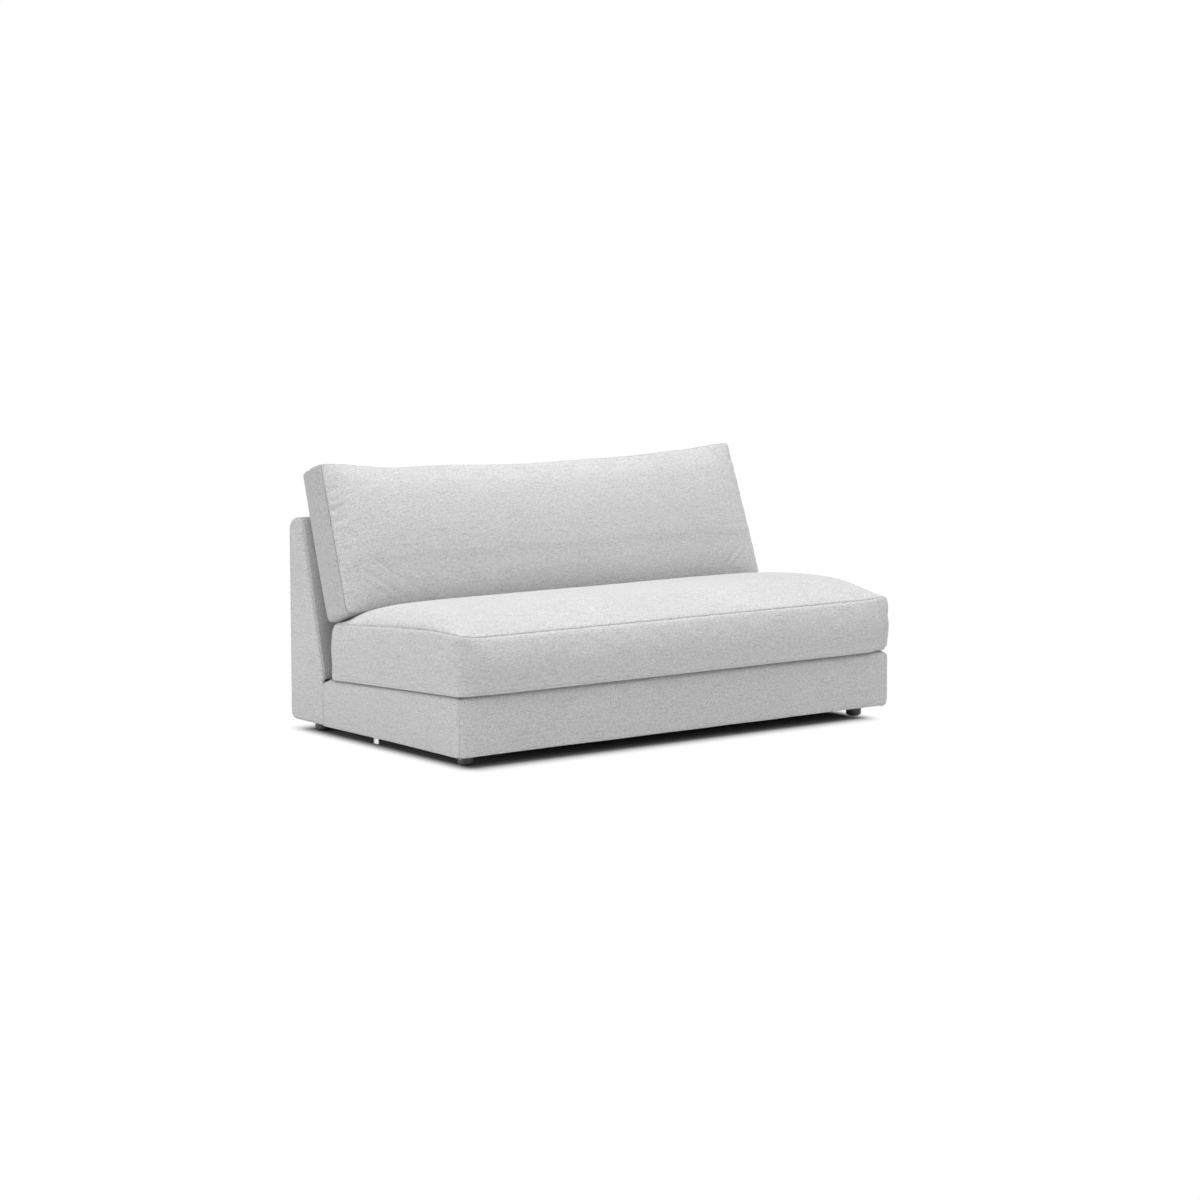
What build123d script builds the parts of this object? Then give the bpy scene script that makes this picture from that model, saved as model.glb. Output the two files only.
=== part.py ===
"""Armless sofa module: an upholstered base unit on four feet, a raked back unit bolted behind it,
a loose bench seat cushion and a loose back cushion.

Millimetres. +Z up, front faces -Y, floor at Z = 0, origin under the middle of the whole sofa.
"""
import math
import os

from build123d import *

os.makedirs("parts", exist_ok=True)

# ---- driving dimensions -------------------------------------------------------------------
WIDTH = 1740.0             # overall, side cover to side cover
BASE_DEPTH = 770.0         # base unit, front cover to the joint with the back unit
BACK_DEPTH = 198.0         # back unit at the floor
BACK_TOP_DEPTH = 72.0      # back unit at its top edge
BACK_TOP = 697.0           # top of the back unit above the floor
BASE_BOTTOM = 37.5         # lower edge of the covers above the floor
BASE_HEIGHT = 184.0        # base unit at its front, cover edge to deck
DECK_PITCH = 2.5           # degrees, the deck falls towards the back
EDGE_ROUND = 16.0          # rounded edges of the base unit
BACK_ROUND = 42.0          # rear top edge of the back unit
BACK_FOOT_ROUND = 24.0     # rear bottom edge of the back unit
BACK_LIP_ROUND = 14.0      # front top edge of the back unit
SIDE_ROUND = 4.0           # eased seam edge of the back unit's side covers
EASE_SHARE = 0.42          # wood's corner cut, as a share of the round of the cover outside it

COVER = 8.0                # fabric with its bonded wadding
HEM = 3.5                  # cover turned under the frame and stapled
HEM_WIDTH = 40.0
DUST_COVER = 1.2
DUST_INSET = 14.0          # dust cover's edge inside the cover's edge
DUST_CUT = 2.0             # dust cover's cut round a connector

RAIL = 28.0                # solid wood rail
PLY = 18.0                 # plywood ends and ribs
CROSS_RAIL_HEIGHT = 80.0
CROSS_RAIL_X = 290.0       # cross rails and back ribs from the middle
BLOCK_LEG = 120.0          # triangular corner blocks
BLOCK_HEIGHT = 60.0
FOOT_BLOCK_WIDTH = 100.0   # blocks over the rear feet
FOOT_BLOCK_HEIGHT = 40.0
TOP_RAIL_HEIGHT = 60.0
LUMBAR_RAIL_HEIGHT = 60.0
LUMBAR_RAIL_RISE = 70.0    # lumbar rail above the deck
SILL_DROP = 10.0           # sill rail's top below the deck
FOOT_RAIL_HEIGHT = 90.0
LIGHTENING_HOLE = 76.0     # round hole in each plywood end and rib
LIGHTENING_DROP = 20.0     # its middle below the deck
LIGHTENING_RIM = 18.0      # wood left beside it

DECK_PAD = 20.0
INSULATOR = 2.0
CLIP_SHEET = 1.5
WIRE = 4.0                 # zigzag spring wire
SPRING_COUNT = 9
SPRING_PITCH = 178.0
SPRING_HALF_WIDTH = 25.0
SPRING_LOOP = 88.0         # length of one full loop
SPRING_LEAD = 10.0         # least straight end
CLIP_WIDTH = 22.0
CLIP_LENGTH = 14.0
CLIP_PLAY = 0.2            # wire in its clip
TIE_WIRE = 3.0
TIE_COUNT = 2

BACK_PAD = 16.0
WEBBING = 2.0
WEBBING_WIDTH = 60.0
WEBBING_COUNT = 7
WEBBING_PITCH = 225.0

BOLT_RADIUS = 4.0
HOLE_PLAY = 0.25           # radial, round bolts and screws
THREAD_PLAY = 0.05         # radial, between a bolt and what it screws into
JOIN_BOLT_X = (-620.0, 0.0, 620.0)
JOIN_BOLT_RISE = 60.0      # above the frame's bottom
HEX_FLATS = 13.0
HEX_HEIGHT = 6.0
BOLT_TAIL = 5.0            # thread past the nut

FOOT_RADIUS = 25.5
FOOT_CHAMFER = 2.5
FOOT_SIDE_INSET = 79.0     # foot centre from the side cover
FOOT_FRONT_INSET = 80.0
FOOT_REAR_INSET = 70.0
GLIDE_RADIUS = 17.0
GLIDE = 2.0
FOOT_PLATE_SIZE = 58.0
HANGER_IN_FOOT = 24.0
HANGER_IN_BLOCK = 32.0

HOOK_BACK = 466.5          # connector's middle behind the front cover
HOOK_WIDTH = 27.0
HOOK_FLANGE = 56.0
HOOK_SHEET = 2.5
HOOK_DROP = 16.5           # tongue below the covers
HOOK_FOLD = 4.0            # ridge of the folded tongue
HOOK_INSET = 5.0           # tongue's edges inside the side cover
RECEIVER_GAP = 4.0         # slot that takes a neighbour's tongue
CONNECTOR_SCREW_RADIUS = 2.2
CONNECTOR_SCREW_LENGTH = 24.0
SCREW_HEAD_FLATS = 8.0
SCREW_HEAD = 2.0
SCREW_PITCH = 13.0
SCREW_INSET = 24.5         # connector screws from the side cover

SOFT_GAP = 0.3             # between soft bodies that rest on each other
SEAT_REAR_GAP = 58.0       # seat cushion's rear seam ahead of the back unit
SEAT_BOXING = 182.0        # seat cushion, seam to seam
SEAT_CROWN = 68.0          # rise of the top panel above its seam
SEAT_BULGE = 14.0          # front boxing ahead of its seams
SEAT_REAR_BULGE = 8.0
SEAT_EDGE_INSET = 8.0      # bottom seam inside the boxing
SEAT_SIDE_INSET = 1.0      # cushion's ends inside the side covers
SEAT_CORE_INSET = 44.0
PANEL = 12.0               # cover panel with its fibre wrap, at the seam

CUSHION_TILT = 19.8        # degrees, back cushion from upright
CUSHION_BOXING = 118.0
CUSHION_HEIGHT = 497.0     # at its corners, seam to seam
CUSHION_SAG = 30.0         # top edge lower in the middle
CUSHION_FRONT_CROWN = 44.0
CUSHION_REAR_CROWN = 86.0
CUSHION_SIDE_INSET = 9.0   # at its foot, inside the side covers
CUSHION_TOP_INSET = 22.0   # at its top corners
CUSHION_SEAT = 69.0        # lower front seam ahead of the seat cushion's rear seam
CUSHION_RISE = 32.5        # lower front seam above the seat cushion's top seam
CUSHION_CORE_INSET = 44.0

ZIP_CHANNEL = 30.0
ZIP_TAPE_WIDTH = 26.0
ZIP_TAPE = 1.0
ZIP_COIL_WIDTH = 5.0
ZIP_COIL = 2.0
ZIP_SLIDER_WIDTH = 11.0
ZIP_SLIDER_LENGTH = 16.0
ZIP_SLIDER = 5.0
ZIP_PULL_WIDTH = 7.0
ZIP_PULL_LENGTH = 12.0
ZIP_PULL = 1.4
SEAT_ZIP_MARGIN = 170.0    # from each end of the sofa to the zip's end
SEAT_ZIP_SINK = 6.0        # tape's floor inside the rear seam line
BACK_ZIP_MARGIN = 220.0
BACK_ZIP_PROUD = 12.0      # tape's floor behind the rear seams
BACK_ZIP_RISE = 37.0       # zip's middle above the lower seam
ZIP_STOP = 2.0             # from the tape's end to the slider at rest

# ---- places worked out from them ----------------------------------------------------------
HALF = WIDTH / 2
SEAT_DEPTH = BASE_DEPTH - SEAT_REAR_GAP
SEAT_BULGE_RISE = 0.36 * SEAT_BOXING
SEAT_ZIP_LENGTH = WIDTH - 2 * SEAT_ZIP_MARGIN
BACK_ZIP_LENGTH = WIDTH - 2 * BACK_ZIP_MARGIN
FAR = BACK_TOP             # past the ends of anything that a cut goes through


def arc_circle(a, b, c):
    """Centre and radius of the circle through three (y, z) points."""
    d = 2 * (a[0] * (b[1] - c[1]) + b[0] * (c[1] - a[1]) + c[0] * (a[1] - b[1]))
    squares = [p[0] ** 2 + p[1] ** 2 for p in (a, b, c)]
    y = (squares[0] * (b[1] - c[1]) + squares[1] * (c[1] - a[1]) + squares[2] * (a[1] - b[1])) / d
    z = (squares[0] * (c[0] - b[0]) + squares[1] * (a[0] - c[0]) + squares[2] * (b[0] - a[0])) / d
    return y, z, math.hypot(a[0] - y, a[1] - z)


def overhang():
    """How far the seat cushion's front boxing stands ahead of the base unit's front."""
    y, z, radius = arc_circle((0, SEAT_BOXING), (-SEAT_BULGE, SEAT_BULGE_RISE), (SEAT_EDGE_INSET, 0))
    pitch = math.radians(DECK_PITCH)
    return radius - y * math.cos(pitch) - (z + SOFT_GAP) * math.sin(pitch)


OVERHANG = overhang()
FRONT = -(BASE_DEPTH + BACK_DEPTH - OVERHANG) / 2
JOIN = FRONT + BASE_DEPTH
REAR = JOIN + BACK_DEPTH
SLOPE = math.tan(math.radians(DECK_PITCH))
SLOPE_STRETCH = math.hypot(1.0, SLOPE)
DECK_FRONT = BASE_BOTTOM + BASE_HEIGHT
WOOD_BOTTOM = BASE_BOTTOM + HEM
UNDERSIDE = BASE_BOTTOM - DUST_COVER
SPRING_TOP = COVER + DECK_PAD + INSULATOR + CLIP_SHEET     # below the deck
SPRING_SEAT = SPRING_TOP + WIRE                            # rail tops below the deck
INNER = HALF - COVER                                       # frame's outer face
FOOT_X = HALF - FOOT_SIDE_INSET
FOOT_FRONT_Y = FRONT + FOOT_FRONT_INSET
FOOT_REAR_Y = REAR - FOOT_REAR_INSET
HOOK_Y = FRONT + HOOK_BACK


def deck(y, below=0.0):
    """Height of the deck at y, or of a layer that lies this far below it, square to it."""
    return DECK_FRONT - (y - FRONT) * SLOPE - below * SLOPE_STRETCH


DECK_REAR = deck(JOIN)
LEAN = (REAR - BACK_TOP_DEPTH - JOIN) / (BACK_TOP - DECK_REAR)
LEAN_STRETCH = math.hypot(1.0, LEAN)


def back_front(z, inside=0.0):
    """Y of the back unit's leaning front at height z, or of a layer inside it."""
    return JOIN + (z - DECK_REAR) * LEAN + inside * LEAN_STRETCH


# the two frames that the cushions are drawn in: x along the sofa, then along and off the surface
DECK_PLANE = Plane(
    origin=(0, FRONT, DECK_FRONT),
    x_dir=(1, 0, 0),
    z_dir=(0, math.sin(math.radians(DECK_PITCH)), math.cos(math.radians(DECK_PITCH))),
)
CUSHION_FRONT = FRONT + SEAT_DEPTH - CUSHION_SEAT
CUSHION_PLANE = Plane(
    origin=(0, CUSHION_FRONT, deck(CUSHION_FRONT, -SEAT_BOXING) + CUSHION_RISE),
    x_dir=(1, 0, 0),
    z_dir=(0, math.sin(math.radians(CUSHION_TILT)), math.cos(math.radians(CUSHION_TILT))),
)


# ---- helpers --------------------------------------------------------------------------------
def block(x0, x1, y0, y1, z0, z1):
    """A box between two corners."""
    return Pos((x0 + x1) / 2, (y0 + y1) / 2, (z0 + z1) / 2) * Box(x1 - x0, y1 - y0, z1 - z0)


def profile(points, x0, x1):
    """A solid with this (y, z) outline, from x0 to x1."""
    face = make_face(Polyline(*points, close=True))
    return extrude(Plane.YZ.offset(x0) * face, amount=x1 - x0)


def upright(x, y, z0, z1, radius):
    """A round bar along Z."""
    return Pos(x, y, (z0 + z1) / 2) * Cylinder(radius, z1 - z0)


def along_y(x, y0, y1, z, radius):
    """A round bar along Y."""
    return Pos(x, (y0 + y1) / 2, z) * Rot(90, 0, 0) * Cylinder(radius, y1 - y0)


def along_x(x0, x1, y, z, radius):
    """A round bar along X."""
    return Pos((x0 + x1) / 2, y, z) * Rot(0, 90, 0) * Cylinder(radius, x1 - x0)


def both(shape):
    """A piece and its mirror image on the other side."""
    return [shape, mirror(shape, about=Plane.YZ)]


def write(name, shape):
    """Writes one node; a list becomes a group of separate solids."""
    if isinstance(shape, (list, tuple)):
        shape = Compound(children=[s.solid() if len(s.solids()) == 1 else s for s in shape])
    export_step(shape, f"parts/{name}.step")


def foot_places():
    """The middle of each foot."""
    return [(x, y) for y in (FOOT_FRONT_Y, FOOT_REAR_Y) for x in (-FOOT_X, FOOT_X)]


# ---- base unit: frame -----------------------------------------------------------------------
def base_front_rail():
    y0, y1 = FRONT + COVER, FRONT + COVER + RAIL
    points = [(y0, WOOD_BOTTOM), (y1, WOOD_BOTTOM), (y1, deck(y1, SPRING_SEAT)), (y0, deck(y0, SPRING_SEAT))]
    return profile(points, -INNER, INNER)


def base_rear_rail():
    y0 = JOIN - RAIL
    points = [
        (y0, WOOD_BOTTOM), (JOIN, WOOD_BOTTOM),
        (JOIN, deck(JOIN, SPRING_SEAT)), (y0, deck(y0, SPRING_SEAT)),
    ]
    rail = profile(points, -INNER, INNER)
    for x, z in join_bolt_places():
        rail -= along_y(x, y0 - 1, JOIN + 1, z, BOLT_RADIUS + HOLE_PLAY)
    return rail


def base_side_rail(side):
    y0, y1 = FRONT + COVER + RAIL, JOIN - RAIL
    top = SPRING_TOP - CLIP_SHEET
    points = [(y0, WOOD_BOTTOM), (y1, WOOD_BOTTOM), (y1, deck(y1, top)), (y0, deck(y0, top))]
    inner = INNER - RAIL
    rail = profile(points, inner, INNER) if side > 0 else profile(points, -INNER, -inner)
    for x, y in connector_screw_places(side):
        rail -= upright(x, y, WOOD_BOTTOM - 1, screw_tip(), CONNECTOR_SCREW_RADIUS)
    return rail


def base_cross_rails():
    y0, y1 = FRONT + COVER + RAIL, JOIN - RAIL
    rail = block(
        CROSS_RAIL_X - RAIL / 2, CROSS_RAIL_X + RAIL / 2, y0, y1, WOOD_BOTTOM, WOOD_BOTTOM + CROSS_RAIL_HEIGHT
    )
    return both(rail)


def base_corner_blocks():
    """Triangular blocks in the four corners; the front two carry the front feet."""
    x, front, rear = INNER - RAIL, FRONT + COVER + RAIL, JOIN - RAIL
    top = WOOD_BOTTOM + BLOCK_HEIGHT
    shapes = []
    for y, way in ((front, 1), (rear, -1)):
        outline = Polyline((x, y), (x - BLOCK_LEG, y), (x, y + way * BLOCK_LEG), close=True)
        wedge = extrude(Pos(0, 0, WOOD_BOTTOM) * make_face(outline), amount=BLOCK_HEIGHT, dir=(0, 0, 1))
        if way > 0:
            wedge -= upright(FOOT_X, FOOT_FRONT_Y, WOOD_BOTTOM - 1, top + 1, BOLT_RADIUS + HOLE_PLAY)
        shapes += both(wedge)
    return shapes


# ---- base unit: seat suspension ----------------------------------------------------------------
def spring_outline():
    """Centre line of one zigzag spring, from rail to rail, in the deck's plane."""
    start = COVER + CLIP_LENGTH
    end = (BASE_DEPTH - CLIP_LENGTH / 2) / math.cos(math.radians(DECK_PITCH))
    loops = int((end - start - 2 * SPRING_LEAD) // SPRING_LOOP)
    lead = (end - start - loops * SPRING_LOOP) / 2
    points = [(0, start), (0, start + lead)]
    for i in range(loops):
        y = start + lead + i * SPRING_LOOP
        points += [
            (SPRING_HALF_WIDTH, y + SPRING_LOOP * 0.16), (SPRING_HALF_WIDTH, y + SPRING_LOOP * 0.34),
            (-SPRING_HALF_WIDTH, y + SPRING_LOOP * 0.66), (-SPRING_HALF_WIDTH, y + SPRING_LOOP * 0.84),
        ]
    points += [(0, end - lead), (0, end)]
    return points


def seat_springs():
    flat = trace(Polyline(*spring_outline()), line_width=WIRE)
    spring = extrude(flat, amount=WIRE, dir=(0, 0, 1))
    return [DECK_PLANE * Pos(x, 0, -SPRING_SEAT) * spring for x in spring_places()]


def spring_places():
    first = -SPRING_PITCH * (SPRING_COUNT - 1) / 2
    return [first + i * SPRING_PITCH for i in range(SPRING_COUNT)]


def spring_clips():
    """Folded steel clips that hold the spring ends down on the rails."""
    points = spring_outline()
    shapes = []
    for x in spring_places():
        for y in (points[0][1], points[-1][1]):
            clip = Pos(0, 0, (WIRE + CLIP_SHEET) / 2) * Box(CLIP_WIDTH, CLIP_LENGTH, WIRE + CLIP_SHEET)
            clip -= Pos(0, 0, WIRE / 2) * Box(WIRE + 2 * CLIP_PLAY, CLIP_LENGTH + 2, WIRE)
            shapes.append(DECK_PLANE * Pos(x, y, -SPRING_SEAT) * clip)
    return shapes


def spring_tie_wires():
    """Straight wires across the springs, hooked under them and into the side rails."""
    shapes = []
    reach = INNER - RAIL
    for i in range(TIE_COUNT):
        y = BASE_DEPTH * (i + 1) / (TIE_COUNT + 1)
        wire = along_x(-reach, reach, y, -SPRING_SEAT - TIE_WIRE / 2, TIE_WIRE / 2)
        shapes.append(DECK_PLANE * wire)
    return shapes


def deck_layer(top, thick, x, y0):
    """A layer of the deck that lies this far below the deck's surface."""
    low = top + thick
    points = [(y0, deck(y0, low)), (JOIN, deck(JOIN, low)), (JOIN, deck(JOIN, top)), (y0, deck(y0, top))]
    return profile(points, -x, x)


def deck_insulator():
    return deck_layer(COVER + DECK_PAD, INSULATOR, INNER, FRONT + COVER)


def deck_pad():
    return deck_layer(COVER, DECK_PAD, INNER, FRONT + COVER)


# ---- base unit: covers ---------------------------------------------------------------------------
def base_covers():
    """The base unit's covers: one rounded shell, parted at its seams."""
    outline = [(FRONT, BASE_BOTTOM), (JOIN, BASE_BOTTOM), (JOIN, DECK_REAR), (FRONT, DECK_FRONT)]
    outer = profile(outline, -HALF, HALF)
    rounded = [
        e for e in outer.edges()
        if e.center().Z > BASE_BOTTOM + 1 and e.center().Y < JOIN - 1
    ]
    outer = fillet(rounded, EDGE_ROUND)
    y0 = FRONT + COVER
    inside = profile(
        [(y0, WOOD_BOTTOM), (JOIN + 1, WOOD_BOTTOM), (JOIN + 1, deck(JOIN + 1, COVER)), (y0, deck(y0, COVER))],
        -INNER, INNER,
    )
    window = block(
        HEM_WIDTH - HALF, HALF - HEM_WIDTH, FRONT + HEM_WIDTH, JOIN + 1, BASE_BOTTOM - 1, WOOD_BOTTOM + 1
    )
    shell = outer - inside - window
    for x, y in connector_screw_places(-1) + connector_screw_places(1):
        shell -= upright(x, y, 0, WOOD_BOTTOM + 1, CONNECTOR_SCREW_RADIUS)
    seam = FRONT + EDGE_ROUND
    high = DECK_FRONT + 10
    front_zone = block(-HALF - 1, HALF + 1, FRONT - 1, seam, 0, high)
    side_zone = block(HALF - EDGE_ROUND, HALF + 1, seam, JOIN + 1, 0, high)
    hem_zone = block(HALF - HEM_WIDTH - 1, HALF + 1, seam, JOIN + 1, 0, WOOD_BOTTOM)
    hem_front = block(-HALF, HALF, seam, FRONT + HEM_WIDTH + 1, 0, WOOD_BOTTOM)
    right_zone = side_zone + hem_zone
    left_zone = mirror(right_zone, about=Plane.YZ)
    right = shell & right_zone
    left = shell & left_zone
    front = shell & (front_zone + hem_front) - right_zone - left_zone
    top = block(EDGE_ROUND - HALF, HALF - EDGE_ROUND, seam, JOIN + 1, WOOD_BOTTOM + 20, high)
    return {
        "base_front_cover": front,
        "base_left_cover": left,
        "base_right_cover": right,
        "deck_cover": shell & top,
    }


def dust_cover(y0, y1):
    """Black cloth under a unit, cut round the feet and the connectors."""
    sheet = block(
        DUST_INSET - HALF, HALF - DUST_INSET, y0 + DUST_INSET, y1 - DUST_INSET, UNDERSIDE, BASE_BOTTOM
    )
    half = FOOT_PLATE_SIZE / 2
    for x, y in foot_places():
        sheet -= block(x - half, x + half, y - half, y + half, UNDERSIDE - 1, BASE_BOTTOM + 1)
    cut = HOOK_INSET + HOOK_FLANGE + DUST_CUT
    wide = HOOK_WIDTH / 2 + DUST_CUT
    for notch in both(block(HALF - cut, HALF, HOOK_Y - wide, HOOK_Y + wide, UNDERSIDE - 1, BASE_BOTTOM + 1)):
        sheet -= notch
    return sheet


# ---- back unit: frame --------------------------------------------------------------------------
def wood_front(z):
    """Y of the back frame's leaning front face."""
    return back_front(z, COVER + BACK_PAD + WEBBING)


def wood_top():
    return BACK_TOP - COVER - 2


def eased(radius):
    """Corner cut of the wood that keeps it inside a cover's round of this radius."""
    return EASE_SHARE * radius


def back_outline():
    """Side view of the back frame's wood, below its padding."""
    step = DECK_REAR - SILL_DROP
    rear = REAR - COVER
    high, low = eased(BACK_ROUND), eased(BACK_FOOT_ROUND)
    return [
        (JOIN, WOOD_BOTTOM), (rear - low, WOOD_BOTTOM), (rear, WOOD_BOTTOM + low), (rear, wood_top() - high),
        (rear - high, wood_top()), (wood_front(wood_top()), wood_top()),
        (wood_front(DECK_REAR), DECK_REAR), (wood_front(DECK_REAR), step), (JOIN, step),
    ]


def top_rail_outline():
    low = wood_top() - TOP_RAIL_HEIGHT
    rear = REAR - COVER
    cut = eased(BACK_ROUND)
    return [
        (wood_front(low), low), (rear, low), (rear, wood_top() - cut),
        (rear - cut, wood_top()), (wood_front(wood_top()), wood_top()),
    ]


def lumbar_rail_outline():
    low = DECK_REAR + LUMBAR_RAIL_RISE
    high = low + LUMBAR_RAIL_HEIGHT
    deep = RAIL * LEAN_STRETCH
    return [
        (wood_front(low), low), (wood_front(low) + deep, low),
        (wood_front(high) + deep, high), (wood_front(high), high),
    ]


def sill_outline():
    high = DECK_REAR - SILL_DROP
    return [(JOIN, WOOD_BOTTOM), (JOIN + RAIL, WOOD_BOTTOM), (JOIN + RAIL, high), (JOIN, high)]


def foot_rail_outline():
    rear, high, cut = REAR - COVER, WOOD_BOTTOM + FOOT_RAIL_HEIGHT, eased(BACK_FOOT_ROUND)
    return [
        (rear - RAIL, WOOD_BOTTOM), (rear - cut, WOOD_BOTTOM), (rear, WOOD_BOTTOM + cut),
        (rear, high), (rear - RAIL, high),
    ]


def back_rail(outline):
    """A rail of the back frame, between its plywood ends."""
    return profile(outline, PLY - INNER, INNER - PLY)


def back_top_rail():
    return back_rail(top_rail_outline())


def back_lumbar_rail():
    return back_rail(lumbar_rail_outline())


def back_sill_rail():
    rail = back_rail(sill_outline())
    for x, z in join_bolt_places():
        rail -= along_y(x, JOIN - 1, JOIN + RAIL + 1, z, BOLT_RADIUS + HOLE_PLAY)
    return rail


def back_foot_rail():
    return back_rail(foot_rail_outline())


def lightening_hole(x):
    """Round hole in the middle of a plywood end or rib."""
    z = DECK_REAR - LIGHTENING_DROP
    y = (wood_front(z) + REAR - COVER) / 2
    radius = min(LIGHTENING_HOLE / 2, (REAR - COVER - wood_front(z)) / 2 - LIGHTENING_RIM)
    return along_x(x - PLY, x + 2 * PLY, y, z, radius)


def back_end():
    """The right-hand plywood end of the back unit."""
    return profile(back_outline(), INNER - PLY, INNER) - lightening_hole(INNER - PLY)


def back_ribs():
    """Plywood ribs, notched round the rails that run through them."""
    rib = profile(back_outline(), CROSS_RAIL_X - PLY / 2, CROSS_RAIL_X + PLY / 2)
    for rail in (top_rail_outline(), lumbar_rail_outline(), sill_outline(), foot_rail_outline()):
        rib -= back_rail(rail)
    return both(rib - lightening_hole(CROSS_RAIL_X - PLY / 2))


def back_foot_blocks():
    """Blocks between sill and foot rail that carry the rear feet."""
    x1 = INNER - PLY
    top = WOOD_BOTTOM + FOOT_BLOCK_HEIGHT
    shape = block(x1 - FOOT_BLOCK_WIDTH, x1, JOIN + RAIL, REAR - COVER - RAIL, WOOD_BOTTOM, top)
    shape -= upright(FOOT_X, FOOT_REAR_Y, WOOD_BOTTOM - 1, top + 1, BOLT_RADIUS + HOLE_PLAY)
    return both(shape)


def leaning_layer(inside, thick, z0, z1, x0, x1):
    """A layer of the leaning front of the back unit."""
    points = [
        (back_front(z0, inside), z0), (back_front(z0, inside + thick), z0),
        (back_front(z1, inside + thick), z1), (back_front(z1, inside), z1),
    ]
    return profile(points, x0, x1)


def back_webbing():
    """Elastic straps from the lumbar rail up to the top rail."""
    low = DECK_REAR + LUMBAR_RAIL_RISE
    first = -WEBBING_PITCH * (WEBBING_COUNT - 1) / 2
    shapes = []
    for i in range(WEBBING_COUNT):
        x = first + i * WEBBING_PITCH
        strap = leaning_layer(
            COVER + BACK_PAD, WEBBING, low, wood_top(), x - WEBBING_WIDTH / 2, x + WEBBING_WIDTH / 2
        )
        shapes.append(strap)
    return shapes


def back_pad():
    return leaning_layer(COVER, BACK_PAD, DECK_REAR, wood_top(), -INNER, INNER)


# ---- back unit: covers ----------------------------------------------------------------------------
def back_side_outline():
    """Outer side view of the back unit, with its rounded edges, as a face in (y, z)."""
    corners = make_face(Polyline(
        (JOIN, BASE_BOTTOM), (REAR, BASE_BOTTOM), (REAR, BACK_TOP),
        (back_front(BACK_TOP), BACK_TOP), (JOIN, DECK_REAR), close=True,
    ))
    def corner(y, z):
        return [v for v in corners.vertices() if abs(v.X - y) < 0.1 and abs(v.Y - z) < 0.1]
    corners = fillet(corner(REAR, BACK_TOP), BACK_ROUND)
    corners = fillet(
        [v for v in corners.vertices() if abs(v.X - REAR) < 0.1 and abs(v.Y - BASE_BOTTOM) < 0.1],
        BACK_FOOT_ROUND,
    )
    return fillet(
        [v for v in corners.vertices() if abs(v.X - back_front(BACK_TOP)) < 0.1 and v.Y > BACK_TOP - 0.1],
        BACK_LIP_ROUND,
    )


def back_covers():
    """The back unit's covers: side panels, inside back, and outside back with its top strip."""
    face = back_side_outline()
    side = extrude(Plane.YZ.offset(INNER) * face, amount=COVER)
    rim = [
        e for e in side.edges().filter_by_position(Axis.X, HALF - 0.1, HALF + 0.1)
        if e.center().Y > JOIN + 1
    ]
    side = chamfer(rim, SIDE_ROUND)
    whole = extrude(Plane.YZ.offset(-INNER) * face, amount=2 * INNER)
    wood = profile(back_outline(), -INNER, INNER)
    layers = leaning_layer(COVER, BACK_PAD + WEBBING, DECK_REAR, wood_top(), -INNER, INNER)
    below = block(-INNER, INNER, JOIN - 1, JOIN + 60, 0, DECK_REAR)
    window = block(
        HEM_WIDTH - HALF, HALF - HEM_WIDTH, JOIN - 1, REAR - HEM_WIDTH, 0, WOOD_BOTTOM
    )
    shell = whole - wood - layers - below - window
    inside_zone = leaning_layer(-1, COVER + 1, DECK_REAR, wood_top(), -INNER, INNER)
    inside = shell & inside_zone
    outside = shell - inside_zone
    for zone in (-1, 1):
        strip = block(-HEM_WIDTH / 2, HEM_WIDTH / 2, JOIN - 1, REAR - HEM_WIDTH, 0, WOOD_BOTTOM)
        outside -= Pos(zone * (HALF - HEM_WIDTH / 2), 0, 0) * strip
    return side, inside, outside


# ---- bolts, feet, connectors -----------------------------------------------------------------------
def join_bolt_places():
    z = WOOD_BOTTOM + JOIN_BOLT_RISE
    return [(x, z) for x in JOIN_BOLT_X]


def hexagon(flats, y0, y1):
    face = RegularPolygon(flats / 2, 6, major_radius=False)
    return Pos(0, y0, 0) * extrude(Plane.XZ * face, amount=-(y1 - y0))


def joining_bolts():
    """Hex bolts through the rear rail and the sill rail."""
    y0, y1 = JOIN - RAIL, JOIN + RAIL
    bolt = along_y(0, y0, y1 + HEX_HEIGHT + BOLT_TAIL, 0, BOLT_RADIUS) + hexagon(HEX_FLATS, y0 - HEX_HEIGHT, y0)
    return [Pos(x, 0, z) * bolt for x, z in join_bolt_places()]


def joining_nuts():
    """Nuts on the sill rail's far face."""
    y1 = JOIN + RAIL
    nut = hexagon(HEX_FLATS, y1, y1 + HEX_HEIGHT) - along_y(0, y1 - 1, y1 + HEX_HEIGHT + 1, 0, BOLT_RADIUS + THREAD_PLAY)
    return [Pos(x, 0, z) * nut for x, z in join_bolt_places()]


def foot(x, y):
    """A turned foot, chamfered at its lower edge and bored for its hanger bolt."""
    side = Polyline(
        (0, GLIDE), (FOOT_RADIUS - FOOT_CHAMFER, GLIDE), (FOOT_RADIUS, GLIDE + FOOT_CHAMFER),
        (FOOT_RADIUS, BASE_BOTTOM), (0, BASE_BOTTOM), close=True,
    )
    body = revolve(Plane.XZ * make_face(side), Axis.Z)
    body -= upright(0, 0, BASE_BOTTOM - HANGER_IN_FOOT, BASE_BOTTOM + 1, BOLT_RADIUS + THREAD_PLAY)
    return Pos(x, y, 0) * body


def foot_glides():
    return [upright(x, y, 0, GLIDE, GLIDE_RADIUS) for x, y in foot_places()]


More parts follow.
